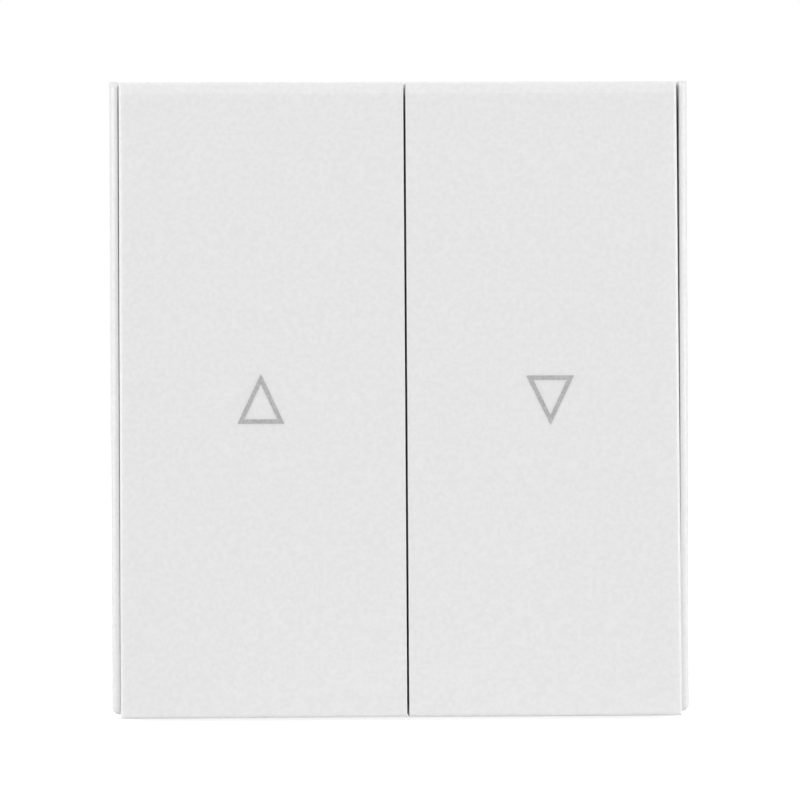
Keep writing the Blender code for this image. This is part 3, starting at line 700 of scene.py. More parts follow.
@dataclass(frozen=True)
class Finish:
    """What every finish has; each kind adds its own pattern.

    Attributes:
        name: the material's name.
        colour: sRGB hex colour.
        roughness: mean roughness.
        second: sRGB hex of the colour that the pattern leads to.
        reach: values of the pattern at which the second colour starts and is full.
        swing: how far the roughness goes to each side of its mean.
    """

    name: str
    colour: str
    roughness: float
    second: str = "FFFFFF"
    reach: Limits = (0.35, 0.65)
    swing: float = 0.05

    @cache
    def material(self) -> bpy.types.Material:
        """Get the finish's material, made on its first use.

        Returns:
            The material.
        """
        shading = Shading(self)
        self.pattern(shading)
        return shading.material

    def pattern(self, on: Shading) -> None:
        """Add the nodes that are this finish's own."""
        raise NotImplementedError


@dataclass(frozen=True)
class MouldedPolycarbonate(Finish):
    """White polycarbonate from a finely spark-eroded mould.

    The resin is filled with titanium white and lets a little light through, so thin walls and narrow gaps
    look soft. The eroded mould leaves an orange peel of about a third of a millimetre, which breaks
    reflections into a satin sheen and gives the flat faces a barely mottled tone.
    """

    second: str = "E3E3E3"
    swing: float = 0.06
    ior: float = 1.585
    peel_spacing: float = 0.36
    peel_detail: float = 2.5
    peel_height: float = 0.004
    depth_weight: float = 0.35
    depth_reach: float = 0.6
    depth_shares: Point = (1.0, 0.97, 0.93)

    def pattern(self, on: Shading) -> None:
        """Add orange peel, mottle, uneven gloss and a little depth.

        Args:
            on: the material that gets them.
        """
        peel = on.grain(self.peel_spacing, self.peel_detail)
        on.tint(peel)
        on.gloss(peel)
        on.relief(peel, self.peel_height)
        on.depth(self.depth_weight, self.depth_reach, self.depth_shares)
        on.shader.inputs["IOR"].default_value = self.ior


@dataclass(frozen=True)
class GlassFilledPolyamide(Finish):
    """Grey polyamide with glass fibre, moulded.

    Fibres that lie along the flow near the skin give a dry matt surface with short pale streaks, and the
    eroded mould adds an even grain.
    """

    second: str = "ACAEAF"
    reach: Limits = (0.4, 0.7)
    swing: float = 0.04
    ior: float = 1.53
    grain_spacing: float = 0.25
    grain_height: float = 0.006
    streak_spacing: float = 0.32
    streak_detail: float = 3.0
    streak_stretch: float = 3.5

    def pattern(self, on: Shading) -> None:
        """Add fibre streaks along the flow and the mould's grain.

        Args:
            on: the material that gets them.
        """
        flow = on.stretched(1.0, 1.0 / self.streak_stretch, 1.0)
        streaks = on.grain(self.streak_spacing, self.streak_detail, flow)
        on.tint(streaks)
        on.gloss(streaks)
        on.relief(on.grain(self.grain_spacing), self.grain_height)
        on.shader.inputs["IOR"].default_value = self.ior


@dataclass(frozen=True)
class NaturalAcetal(Finish):
    """Natural acetal, moulded in a polished cavity.

    The uncoloured resin lets light in, so it looks like wax: off-white, soft in its shadows, with cloudy
    patches where it cooled at different speeds.
    """

    second: str = "DDD5C0"
    swing: float = 0.08
    ior: float = 1.48
    cloud_spacing: float = 1.4
    depth_weight: float = 0.3
    depth_reach: float = 0.6
    depth_shares: Point = (1.0, 0.9, 0.7)

    def pattern(self, on: Shading) -> None:
        """Add cooling clouds to the colour and the gloss.

        Args:
            on: the material that gets them.
        """
        clouds = on.grain(self.cloud_spacing)
        on.tint(clouds)
        on.gloss(clouds)
        on.depth(self.depth_weight, self.depth_reach, self.depth_shares)
        on.shader.inputs["IOR"].default_value = self.ior


@dataclass(frozen=True)
class RolledBrass(Finish):
    """Brass strip, cold rolled and stamped.

    The rolls leave straight lines along the strip that stretch every reflection across them, and handling
    leaves faint brown stains. Real rolling lines are finer than a hair; these are coarse enough to show.
    """

    second: str = "B38E54"
    reach: Limits = (0.5, 0.78)
    swing: float = 0.1
    line_spacing: float = 0.09
    line_height: float = 0.002
    line_stretch: float = 50.0
    stain_spacing: float = 2.5
    stain_detail: float = 4.0

    def pattern(self, on: Shading) -> None:
        """Add rolling lines along Z and stains.

        Args:
            on: the material that gets them.
        """
        lines = on.grain(self.line_spacing, where=on.stretched(1.0, 1.0, 1.0 / self.line_stretch))
        on.tint(on.grain(self.stain_spacing, self.stain_detail))
        on.gloss(lines)
        on.relief(lines, self.line_height)
        on.shader.inputs["Metallic"].default_value = 1.0


@dataclass(frozen=True)
class FineSilver(Finish):
    """Fine silver, cold headed to a contact rivet.

    New silver is the whitest of metals, with a soft sheen from the header's die and a first breath of
    yellow tarnish in patches.
    """

    second: str = "DACDAE"
    reach: Limits = (0.45, 0.75)
    swing: float = 0.08
    patch_spacing: float = 0.6
    patch_detail: float = 3.0

    def pattern(self, on: Shading) -> None:
        """Add tarnish patches and an uneven sheen.

        Args:
            on: the material that gets them.
        """
        patches = on.grain(self.patch_spacing, self.patch_detail)
        on.tint(patches)
        on.gloss(patches)
        on.shader.inputs["Metallic"].default_value = 1.0


@dataclass(frozen=True)
class ZincPlatedSteel(Finish):
    """Steel with bright zinc and a thin clear passivation.

    The zinc is a cool blue-white metal. The passivation varies in thickness, which gives weak yellow clouds,
    and the plating's crystals scatter the sheen.
    """

    second: str = "D6D2BD"
    reach: Limits = (0.38, 0.68)
    swing: float = 0.08
    cloud_spacing: float = 1.6
    crystal_spacing: float = 0.14
    crystal_height: float = 0.002

    def pattern(self, on: Shading) -> None:
        """Add passivation clouds and the plating's crystals.

        Args:
            on: the material that gets them.
        """
        scale = 1 / (self.crystal_spacing * MM)
        cells = add_node(on.tree, "ShaderNodeTexVoronoi", Vector=on.where, Scale=scale)
        crystals = cells.outputs["Distance"]
        on.tint(on.grain(self.cloud_spacing))
        on.gloss(crystals)
        on.relief(crystals, self.crystal_height)
        on.shader.inputs["Metallic"].default_value = 1.0


@dataclass(frozen=True)
class PadPrintInk(Finish):
    """Grey ink, pad printed on the moulding.

    The pad leaves the film uneven, so the grey is mottled, and the white shows through where it is thin.
    """

    second: str = "BBBABB"
    mottle_spacing: float = 0.2
    mottle_detail: float = 3.0

    def pattern(self, on: Shading) -> None:
        """Add the mottle of the film.

        Args:
            on: the material that gets it.
        """
        mottle = on.grain(self.mottle_spacing, self.mottle_detail)
        on.tint(mottle)
        on.gloss(mottle)


WHITE = MouldedPolycarbonate("satin_white", "E8E8E8", 0.34)
GREY = GlassFilledPolyamide("fibre_grey", "A3A5A6", 0.55)
ACETAL = NaturalAcetal("waxy_acetal", "EAE7DE", 0.32)
BRASS = RolledBrass("rolled_brass", "DDBD7E", 0.3)
SILVER = FineSilver("fine_silver", "ECECED", 0.28)
ZINC = ZincPlatedSteel("bright_zinc", "CDD1D6", 0.3)
INK = PadPrintInk("grey_print", "A6A5A6", 0.5)


# Rockers


@dataclass
class Rocker:
    """Hollow rocker with its bearing pins, plunger tube, spring and printed triangle.

    Its sizes are counted from the pivot, before it is tilted to its rest.
    """

    direction: Direction
    pivot: Point
    sides: Limits
    height: float = 49.5
    tilt: float = math.radians(3.5)
    pivot_to_face: float = 4.6
    skirt_at_ends: float = 4.65
    skirt_at_pivot: float = 6.1
    face_wall: float = 1.8
    skirt_wall: float = 1.3
    band_height: float = 0.95
    band_setback: float = 0.25
    band_radius: float = 0.1
    outer_radius: float = 0.31
    inner_radius: float = 0.1
    foot_corner: float = 0.4
    foot_draft: float = 0.3
    foot_short: float = 0.14
    core_corner: float = 0.6
    core_radius: float = 0.3
    stiffener_wall: float = 1.0
    stiffener_height: float = 1.6
    pin_radius: float = 1.0
    pin_from: float = 5.8
    pin_rim: float = 0.25
    lug: Limits = (7.9, 9.1)
    lug_radius: float = 1.7
    lug_root: float = 4.2
    lug_slope: float = math.radians(72)
    tube_radius: float = 3.5
    bore_radius: float = 2.6
    tube_end: float = 9.8
    tube_blind: float = 2.1
    fine_radius: float = 0.2
    fin_wall: float = 1.0
    fin_reach: float = 4.4
    sunk: float = 0.4

    @classmethod
    def in_frame(cls, direction: Direction, joints: list[dict]) -> "Rocker":
        """Take the pivot and the two sides from the frame.

        Args:
            direction: which rocker it is.
            joints: the frame's joints.

        Returns:
            The rocker.
        """
        name = f"rocker_{direction.value}"
        joint = next(row for row in joints if row["name"] == name + "_tilt")
        pivot = tuple(value / MM for value in joint["pos_m"])
        sides = tuple(corner.x / MM - pivot[0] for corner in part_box(name))
        return cls(direction, pivot, sides)

    @property
    def drop(self) -> float:
        """How far the tilt would lift the middle of the face."""
        return self.pivot_to_face * math.sin(self.tilt)

    @property
    def ends(self) -> Limits:
        """Foot and top, seen from the pivot."""
        return (self.foot_short - self.height / 2 - self.drop, self.height / 2 - self.drop)

    @property
    def face(self) -> float:
        """Place of the face along Y, seen from the pivot."""
        return -self.pivot_to_face

    @property
    def inside(self) -> float:
        """Place of the face's inner side along Y, seen from the pivot."""
        return self.face + self.face_wall

    def shell(self) -> Workpiece:
        """Shape the outside: V-shaped skirt with a drafted foot, top band, and rounded edges.

        Returns:
            The solid shell.
        """
        foot, top = self.ends
        face = self.face
        shell = Workpiece.box("shell", self.sides, (face, face + self.skirt_at_pivot), (foot, top))
        shell.split(Axis.Z, 0.0)
        for end, draft in ((foot, self.foot_draft), (top, 0)):
            shell.pick(Element.CORNER, above(Axis.Y, face + TOUCH), near(Axis.Z, end))
            shell.move((0, self.skirt_at_ends - self.skirt_at_pivot, draft))
        crease = top - self.band_height
        shell.split(Axis.Z, crease)
        shell.pick(Element.CORNER, near(Axis.Y, face), near(Axis.Z, top))
        shell.move((0, self.band_setback, 0))
        outer, inner = self.sides if self.direction is Direction.UP else self.sides[::-1]
        shell.pick(Element.EDGE, along(Axis.Y), near(Axis.Z, foot), near(Axis.X, outer))
        shell.round_off(self.foot_corner, 5)
        front = below(Axis.Y, face + self.band_setback)
        shell.pick(Element.EDGE, front, off(Axis.X, inner), off(Axis.Z, 0, crease, top))
        shell.round_off(self.outer_radius, 4)
        shell.pick(Element.EDGE, along(Axis.Z), near(Axis.X, inner), front)
        shell.round_off(self.inner_radius, 3)
        shell.pick(Element.EDGE, along(Axis.X), near(Axis.Y, face), near(Axis.Z, crease))
        shell.round_off(self.band_radius, 2)
        band_front = below(Axis.Y, face + self.band_setback + TOUCH)
        shell.pick(Element.EDGE, along(Axis.X), near(Axis.Z, top), band_front)
        return shell.round_off(self.band_radius, 3)

    def hollow(self) -> Workpiece:
        """Shape the core that leaves the inside, with rounded corners.

        Returns:
            The core.
        """
        (left, right), (foot, top), wall = self.sides, self.ends, self.skirt_wall
        tall, deep = (foot + wall, top - wall), (self.inside, self.height)
        core = Workpiece.box("core", (left + wall, right - wall), deep, tall)
        core.pick(Element.EDGE, along(Axis.Y)).round_off(self.core_corner, 4)
        return core.round_rim(Axis.Y, -1, self.core_radius, 3)

    def stiffeners(self) -> list[Workpiece]:
        """Make the ribs across the inside of the face.

        Returns:
            The two ribs.
        """
        wide = (self.sides[0] + self.skirt_wall - self.sunk, self.sides[1] - self.skirt_wall + self.sunk)
        half, quarter = self.stiffener_wall / 2, self.height / 4
        deep = (self.inside - self.sunk, self.inside + self.stiffener_height)
        rib = Workpiece.box("rib", wide, deep, (-half, half)).round_rim(Axis.Y, 1, self.fine_radius, 2)
        return rib.copies(spot(z=-quarter), spot(z=quarter))

    def bearings(self) -> list[Workpiece]:
        """Make the two lugs, each with its pin.

        Returns:
            The lugs.
        """
        deep = (self.inside - self.sunk, self.lug_radius * math.cos(self.lug_slope))
        height = self.lug_radius * math.sin(self.lug_slope)
        lug = Workpiece.box("lug", self.lug, deep, (-self.lug_root, self.lug_root))
        lug.pick(Element.FACE, facing(Axis.Y, 1)).stretch((1, 1, height / self.lug_root))
        pin = Workpiece.rod("pin", Axis.X, self.pin_radius, (self.pin_from, self.lug[0] + self.sunk), 32)
        pin.round_rim(Axis.X, -1, self.pin_rim, 3)
        lug.weld(Workpiece.rod("lug_end", Axis.X, self.lug_radius, self.lug), pin)
        return lug.turned_pairs((0, 0, 0))

    def fins(self) -> list[Workpiece]:
        """Make the webs that hold the tube to the face, above and below it.

        Returns:
            The two webs.
        """
        root, half = self.tube_radius - self.sunk, self.fin_wall / 2
        outer = root + self.fin_reach
        deep = (self.inside - self.sunk, self.inside + self.fin_reach)
        web = Workpiece.box("fin", (-half, half), deep, (root, outer))
        web.pick(Element.CORNER, above(Axis.Y, self.inside), near(Axis.Z, outer))
        return web.move((0, -self.fin_reach, 0)).turned_pairs((0, 0, 0))

    def tube(self) -> Workpiece:
        """Make the tube that guides the plunger, with a rounded mouth."""
        tube = Workpiece.rod("tube", Axis.Y, self.tube_radius, (self.inside - self.sunk, self.tube_end), 64)
        return tube.round_rim(Axis.Y, 1, self.fine_radius, 3)

    def bore(self) -> Workpiece:
        """Make the cutter of the blind bore for spring and plunger."""
        span = (self.face + self.tube_blind, self.height / 2)
        return Workpiece.rod("bore", Axis.Y, self.bore_radius, span, 64)

    def settle(self, piece: Workpiece) -> Workpiece:
        """Tilt a piece that was made about the pivot and bring it to its place."""
        return piece.place(self.pivot, (-self.tilt, 0, 0))

    def build(self) -> None:
        """Build the moulding, wind its spring and print its triangle."""
        name = f"rocker_{self.direction.value}"
        moulding = self.shell().cut(self.hollow())
        moulding.weld(*self.stiffeners(), *self.bearings(), *self.fins(), self.tube())
        moulding.cut(self.bore()).clean()
        self.settle(moulding).smooth()
        moulding.hand_over(name + "_moulding", WHITE, name, "white_polycarbonate", name)
        Spring().build(self)
        Triangle.on(self).build(self)


@dataclass
class Spring:
    """Spring of round wire in a rocker's tube, with one closed turn at each end.

    Its span is from middle to middle of the wire, counted from the pivot before the rocker is tilted.
    """

    wire: float = 0.25
    coil: float = 1.65
    span: Limits = (-2.1, 9.79)
    open_turns: int = 6
    travel: float = 0.5
    wire_sides: int = 12
    steps: int = 36

    def winding(self, start: float, pitch: float, turns: int) -> Workpiece:
        """Wind some turns of wire at one pitch.

        Args:
            start: where the wire starts along Y.
            pitch: rise of one turn.
            turns: how many turns.

        Returns:
            The wire, open at both ends.
        """
        section = Workpiece.ring("wire", self.wire, (0, 0, 0), self.wire_sides, filled=False)
        section.place((self.coil, start, 0), (HALF_TURN / 2, 0, 0))
        return section.wind(pitch, turns, self.steps)

    def build(self, rocker: Rocker) -> None:
        """Wind it and put it in the tube.

        Args:
            rocker: the rocker that holds it.
        """
        name = rocker.direction.value
        start, end = self.span
        closed = 2 * self.wire + TOUCH
        pitch = (end - start - 2 * closed) / self.open_turns
        spring = self.winding(start, closed, 1)
        middle = self.winding(start + closed, pitch, self.open_turns)
        spring.join(middle, self.winding(end - closed, closed, 1))
        rocker.settle(spring.close_ends()).smooth()
        node = name + "_spring"
        spring.hand_over(node + "_wire", ZINC, "rocker_" + name, "zinc_plated_steel", node)
        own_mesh(spring.obj)


@dataclass
class Triangle:
    """Printed triangle, a thin outline of ink on a rocker's face.

    Its middle is counted from the middle of the part; the two prints differ a little in size and place.
    """

    middle_x: float
    middle_z: float
    width: float
    height: float
    stroke: float = 0.33
    film: float = 0.02

    @classmethod
    def on(cls, rocker: Rocker) -> "Triangle":
        """Choose the triangle that a rocker carries.

        Args:
            rocker: the rocker.

        Returns:
            Its triangle.
        """
        if rocker.direction is Direction.UP:
            return cls(middle_x=-10.85, middle_z=0.08, width=3.62, height=3.86)
        return cls(middle_x=11.6, middle_z=-0.12, width=3.68, height=3.82)

    def build(self, rocker: Rocker) -> None:
        """Draw the outline from a three-cornered disc, thicken it and lay it on the face.

        Args:
            rocker: the rocker that carries it.
        """
        name = rocker.direction.value
        flat = Workpiece.ring("outline", 1.0, (0, 0, 0), 3, filled=True)
        corners = [corner.co / MM for corner in flat.edit().verts]
        lengths = [max(c[axis] for c in corners) - min(c[axis] for c in corners) for axis in (0, 2)]
        tip = 1 if sum(corner.z > 0 for corner in corners) == 1 else -1
        point = tip if rocker.direction is Direction.UP else -tip
        flat.pick(Element.FACE).stretch((self.width / lengths[0], 1, point * self.height / lengths[1]))
        heights = [corner.co.z / MM for corner in flat.edit().verts]
        flat.move((0, 0, -(max(heights) + min(heights)) / 2)).inset(self.stroke)
        bpy.ops.mesh.delete(type="FACE")
        flat.pick(Element.FACE).draw_out((0, -self.film, 0)).clean()
        flat.place((self.middle_x - rocker.pivot[0], rocker.face, self.middle_z - rocker.drop))
        rocker.settle(flat)
        flat.hand_over(name + "_triangle", INK, "rocker_" + name, "white_polycarbonate")


# Front frame


@dataclass
class FrontFrame:
    """Moulded carrier: flange, side walls, bearing posts, snap arms and snap tabs."""

    half_width: float = 22.5
    top: float = 24.75
    foot: float = -24.45
    wall_front: float = -7.2
    wall: float = 0.65
    flange: float = 2.6
    foot_radius: float = 0.6
    outer_radius: float = 0.5
    inner_radius: float = 0.12
    rebate: Point = (21.4, 0.8, 20.2)
    module_x: float = 11.25
    window: Limits = (4.5, 6.0)
    window_radius: float = 1.5
    pivot_y: float = -4.6
    post_x: float = 6.6
    post_half: float = 1.0
    post_hole: float = 1.2
    post_ring: float = 1.9
    post_root: float = 3.0
    post_mouth: float = 0.85
    mouth_flare: float = 1.5
    arm_x: Limits = (21.5, 22.5)
    arm_z: float = 10.0
    arm_half: float = 3.0
    arm_end: float = 8.2
    nose: float = 0.8
    nose_y: float = 5.6
    tab_z: Limits = (20.7, 21.9)
    tab_half: float = 4.0
    tab_end: float = 8.0
    tooth: float = 1.4
    tooth_y: Limits = (2.2, 5.8)
    fine_radius: float = 0.15
    sunk: float = 0.4

    def flange_and_walls(self) -> Workpiece:
        """Cut the rockers' channel out of a block and round the edges that show.

        Returns:
            The carrier before its windows are cut.
        """
        half, front = self.half_width, self.wall_front
        carrier = Workpiece.box("carrier", (-half, half), (front, 0), (self.foot, self.top))
        carrier.pick(Element.EDGE, along(Axis.Y), near(Axis.Z, self.foot)).round_off(self.foot_radius, 6)
        carrier.round_rim(Axis.Y, -1, self.outer_radius, 4)
        inner = half - self.wall
        over = 2 * half
        carrier.cut(Workpiece.box("channel", (-inner, inner), (-over, -self.flange), (-over, over)))
        for side in (-inner, inner):
            carrier.pick(Element.EDGE, along(Axis.Z), near(Axis.X, side), near(Axis.Y, front))
            carrier.round_off(self.inner_radius, 3)
        reach_x, depth, reach_z = self.rebate
        rebate = Workpiece.box("rebate", (-reach_x, reach_x), (-depth, over), (-reach_z, reach_z))
        return carrier.cut(rebate)

    def windows(self) -> list[Workpiece]:
        """Make the cutters of the openings that the plunger tubes pass through.

        Returns:
            The two cutters.
        """
        half_x, half_z = self.window
        window = Workpiece.box("window", (-half_x, half_x), (-self.flange - OVER, OVER), (-half_z, half_z))
        window.pick(Element.EDGE, along(Axis.Y)).round_off(self.window_radius, 6)
        return window.copies(spot(-self.module_x), spot(self.module_x))

    def posts(self) -> list[Workpiece]:
        """Make the open rings on feet that the rockers' pins snap into.

        Returns:
            The four posts.
        """
        half = self.post_half
        span, wide = (-half, half), (-2 * half, 2 * half)
        ring = Workpiece.rod("post", Axis.X, self.post_ring, span)
        depth = -self.flange + self.sunk - self.pivot_y
        foot = Workpiece.box("post_foot", span, (0, depth), (-self.post_root, self.post_root))
        foot.pick(Element.FACE, facing(Axis.Y, -1)).stretch((1, 1, self.post_ring / self.post_root))
        mouth = Workpiece.box("mouth", wide, (-2 * self.post_ring, 0), (-self.post_mouth, self.post_mouth))
        mouth.pick(Element.FACE, facing(Axis.Y, -1)).stretch((1, 1, self.mouth_flare))
        ring.weld(foot).cut(Workpiece.rod("pin_hole", Axis.X, self.post_hole, wide), mouth)
        middles, offsets = (-self.module_x, self.module_x), (-self.post_x, self.post_x)
        return ring.copies(*(spot(x + offset, self.pivot_y) for x in middles for offset in offsets))

    def arms(self) -> list[Workpiece]:
        """Make the snap arms beside the housing, with their noses turned in.

        Returns:
            The four arms.
        """
        tall, inner = (-self.arm_half, self.arm_half), self.arm_x[0]
        arm = Workpiece.box("arm", self.arm_x, (-self.sunk, self.arm_end), tall)
        tip = inner - self.nose
        nose = Workpiece.box("nose", (tip, inner + self.sunk), (self.nose_y, self.arm_end), tall)
        nose.split(Axis.Y, self.nose_y + self.nose)
        nose.pick(Element.CORNER, near(Axis.X, tip), near(Axis.Y, self.arm_end)).move((self.nose, 0, 0))
        arm.weld(nose).clean()
        arm.pick(Element.EDGE, near(Axis.Y, self.arm_end)).round_off(self.fine_radius, 2)
        return arm.turned_pairs((0, 0, -self.arm_z), (0, 0, self.arm_z))

    def tabs(self) -> list[Workpiece]:
        """Make the springy tabs whose teeth snap behind the support frame.

        Returns:
            The four tabs.
        """
        outer, wide = self.tab_z[1], (-self.tab_half, self.tab_half)
        tab = Workpiece.box("tab", wide, (-self.sunk, self.tab_end), self.tab_z)
        tip = outer + self.tooth
        tooth = Workpiece.box("tooth", wide, self.tooth_y, (outer - self.sunk, tip))
        tooth.pick(Element.CORNER, near(Axis.Z, tip), near(Axis.Y, self.tooth_y[1]))
        tab.weld(tooth.move((0, 0, -self.tooth))).clean()
        tab.pick(Element.EDGE, near(Axis.Y, self.tab_end)).round_off(self.fine_radius, 2)
        return tab.turned_pairs((-self.module_x, 0, 0), (self.module_x, 0, 0))

    def build(self) -> None:
        """Build the carrier in one moulding."""
        carrier = self.flange_and_walls().cut(*self.windows())
        carrier.weld(*self.posts(), *self.arms(), *self.tabs()).clean().smooth()
        carrier.hand_over("front_frame_moulding", WHITE, "base", "white_polycarbonate", "front_frame")


# Base


@dataclass
class Terminal:
    """Middle of one terminal, seen from the front."""

    name: str
    x: float
    z: float

    @classmethod
    def at_screw(cls, name: str) -> "Terminal":
        """Take the place of the frame's screw."""
        low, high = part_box(name + "_terminal_screw")
        return cls(name, (low.x + high.x) / 2 / MM, (low.z + high.z) / 2 / MM)

    @property
    def place(self) -> Place:
        """Its middle as a place that a piece can be set at."""
        return spot(self.x, z=self.z)


@dataclass
class Housing:
    """Moulded base: switch pockets, terminal chambers, cores, screw holes and wire ports."""

    terminals: list[Terminal]
    half_x: float = 21.2
    half_z: float = 20.0
    front: float = -0.5
    back: float = 26.0
    wall: float = 1.6
    corner: float = 1.2
    chamfer: float = 0.8
    partition: float = 1.0
    floor_y: float = 12.9
    pocket_corner: float = 0.4
    chamber: Limits = (4.8, 4.3)
    core_rib: float = 1.2
    core_cells: int = 4
    core_corner: float = 0.6
    core_radius: float = 0.3
    access: float = 3.1
    access_rim: float = 0.35
    port: float = 1.6
    funnel: float = 1.95
    funnel_depth: float = 0.5
    port_offset: float = 2.9
    port_y: float = 19.4
    rivet_arm: float = 8.1
    rivet_recess: float = 1.25
    recess_depth: float = 0.6
    catch_x: float = 20.4
    catch_y: Limits = (5.3, 8.5)
    catch_z: float = 10.0
    catch_half: float = 3.3
    notch_y: float = 11.6
    notch_half: float = 1.8
    module_x: float = 11.25
    fine_radius: float = 0.15
    ejector: float = 0.9
    ejector_place: Limits = (18.9, 17.5)
    arrow: float = 0.75
    mark_depth: float = 0.15

    @property
    def inner(self) -> Limits:
        """Half width and half height inside the outer walls."""
        return (self.half_x - self.wall, self.half_z - self.wall)

    @property
    def chamber_edge(self) -> float:
        """Where the chambers end towards the middle."""
        return self.inner[1] - 2 * self.chamber[1]

    @property
    def chambers(self) -> list[Terminal]:
        """The terminals and the spare place that has none."""
        return [*self.terminals, Terminal("spare", self.module_x, -self.terminals[0].z)]

    def block(self) -> Workpiece:
        """Shape the outside, with rounded long edges and a broken back rim.

        Returns:
            The solid block.
        """
        half_x, half_z = self.half_x, self.half_z
        block = Workpiece.box("base", (-half_x, half_x), (self.front, self.back), (-half_z, half_z))
        block.pick(Element.EDGE, along(Axis.Y)).round_off(self.corner, 6)
        return block.round_rim(Axis.Y, 1, self.chamfer, 1).round_rim(Axis.Y, 1, self.fine_radius, 2)

    def pockets(self) -> list[Workpiece]:
        """Make the cutters of the two rooms for the see-saw contacts.

        Returns:
            The two cutters.
        """
        inner_x, inner_z = self.inner
        half = (inner_x - self.partition / 2) / 2
        deep = (self.front - OVER, self.floor_y)
        pocket = Workpiece.box("pocket", (-half, half), deep, (-inner_z, inner_z))
        pocket.pick(Element.EDGE, along(Axis.Y)).round_off(self.pocket_corner, 3)
        middle = self.partition / 2 + half
        return pocket.copies(spot(-middle), spot(middle))

    def rooms(self) -> list[Workpiece]:
        """Make the cutters of the terminal chambers behind the pockets' floors.

        Returns:
            One cutter for each chamber.
        """
        half_x, half_z = self.chamber
        deep = (self.floor_y - OVER, self.back - self.wall)
        room = Workpiece.box("room", (-half_x, half_x), deep, (-half_z, half_z))
        return room.copies(*(chamber.place for chamber in self.chambers))

    def core(self, x: Limits, z: Limits) -> Workpiece:
        """Make the cutter of one cell that keeps the walls even, open to the back.

        Args:
            x: its limits along X.
            z: its limits along Z.

        Returns:
            The cutter.
        """
        core = Workpiece.box("core", x, (self.floor_y + self.wall, self.back + OVER), z)
        core.pick(Element.EDGE, along(Axis.Y)).round_off(self.core_corner, 4)
        return core.round_rim(Axis.Y, -1, self.core_radius, 2)

    def cores(self) -> list[Workpiece]:
        """Make all cells: a row across the middle, and one between each pair of chambers.

        Returns:
            Their cutters.
        """
        inner_x, inner_z = self.inner
        edge = self.chamber_edge
        width = (2 * inner_x - (self.core_cells - 1) * self.core_rib) / self.core_cells
        pitch = width + self.core_rib
        cell = self.core((-inner_x, width - inner_x), (self.wall - edge, edge - self.wall))
        cells = cell.copies(*(spot(count * pitch) for count in range(self.core_cells)))
        beside = self.chamber[0] + self.wall
        for hand in (-1, 1):
            left, right = sorted(place.x for place in self.chambers if place.z * hand > 0)
            cells.append(self.core((left + beside, right - beside), (hand * edge, hand * inner_z)))
        return cells

    def access_holes(self) -> list[Workpiece]:
        """Make the cutters of the screwdriver holes, with countersunk rims.

        Returns:
            One cutter for each terminal.
        """
        span = (self.back - 2 * self.wall, self.back + OVER)
        hole = Workpiece.rod("access", Axis.Y, self.access, span, 64)
        rim = (self.back - self.access_rim, self.back + TOUCH)
        radii = (self.access, self.access + self.access_rim + TOUCH)
        hole.weld(Workpiece.rod("rim", Axis.Y, radii, rim, 64))
        return hole.copies(*(terminal.place for terminal in self.terminals))

    def wire_ports(self) -> list[Workpiece]:
        """Make the cutters of the wire ports, two above or below each terminal.

        Returns:
            Two cutters for each terminal.
        """
        depth = self.half_z - self.terminals[0].z
        port = Workpiece.rod("port", Axis.Z, self.port, (0, depth + OVER))
        mouth = (depth - self.funnel_depth, depth + TOUCH)
        port.weld(Workpiece.rod("funnel", Axis.Z, (self.port, self.funnel), mouth))
        places = []
        for terminal in self.terminals:
            turn = 0 if terminal.z > 0 else HALF_TURN
            for offset in (-self.port_offset, self.port_offset):
                places.append(spot(terminal.x + offset, self.port_y, terminal.z, turn))
        return port.copies(*places)

    def catches(self) -> list[Workpiece]:
        """Make the cutters of the recesses that the snap arms' noses drop into.

        Returns:
            The four cutters.
        """
        half = self.catch_half
        catch = Workpiece.box("catch", (self.catch_x, self.half_x + OVER), self.catch_y, (-half, half))
        return catch.turned_pairs((0, 0, -self.catch_z), (0, 0, self.catch_z))

    def rivet_recesses(self) -> list[Workpiece]:
        """Make the cutters of the recesses behind the fixed rivets.

        Returns:
            The three cutters.
        """
        span = (self.floor_y - OVER, self.floor_y + self.recess_depth)
        recess = Workpiece.rod("recess", Axis.Y, self.rivet_recess, span, 32)
        arm, side = self.rivet_arm, self.module_x
        return recess.copies(spot(-side, z=arm), spot(-side, z=-arm), spot(side, z=arm))

    def notch(self) -> Workpiece:
        """Make the cutter of the gap in the partition that the link strip crosses."""
        tall = (-self.rivet_arm - self.notch_half, -self.rivet_arm + self.notch_half)
        return Workpiece.box("notch", (-self.partition, self.partition), (self.notch_y, self.floor_y), tall)

    def marks(self) -> list[Workpiece]:
        """Make the cutters of the ejector marks, and of the arrows beside the up and down terminals.

        Returns:
            Four marks and two arrows.
        """
        span = (self.back - self.mark_depth, self.back + OVER)
        mark = Workpiece.rod("ejector", Axis.Y, self.ejector, span, 32)
        x, z = self.ejector_place
        marks = mark.copies(*(spot(at_x, z=at_z) for at_x in (-x, x) for at_z in (-z, z)))
        arrow = Workpiece.rod("arrow", Axis.Y, self.arrow, span, 3)
        tip_up = sum(corner.co.z > 0 for corner in arrow.edit().verts) == 2
        z = self.chamber_edge - self.wall / 2
        places = []
        for terminal, up in zip(self.terminals, (True, False)):
            places.append(spot(terminal.x, z=z, turn=0 if up is tip_up else HALF_TURN))
        return [*marks, *arrow.copies(*places)]

    def build(self) -> None:
        """Build the base in one moulding."""
        base = self.block().cut(*self.pockets(), self.notch(), *self.rooms(), *self.cores())
        base.cut(*self.access_holes(), *self.wire_ports(), *self.rivet_recesses(), *self.catches())
        base.cut(*self.marks()).clean().smooth()
        base.hand_over("housing_moulding", GREY, "base", "grey_polyamide", "housing")


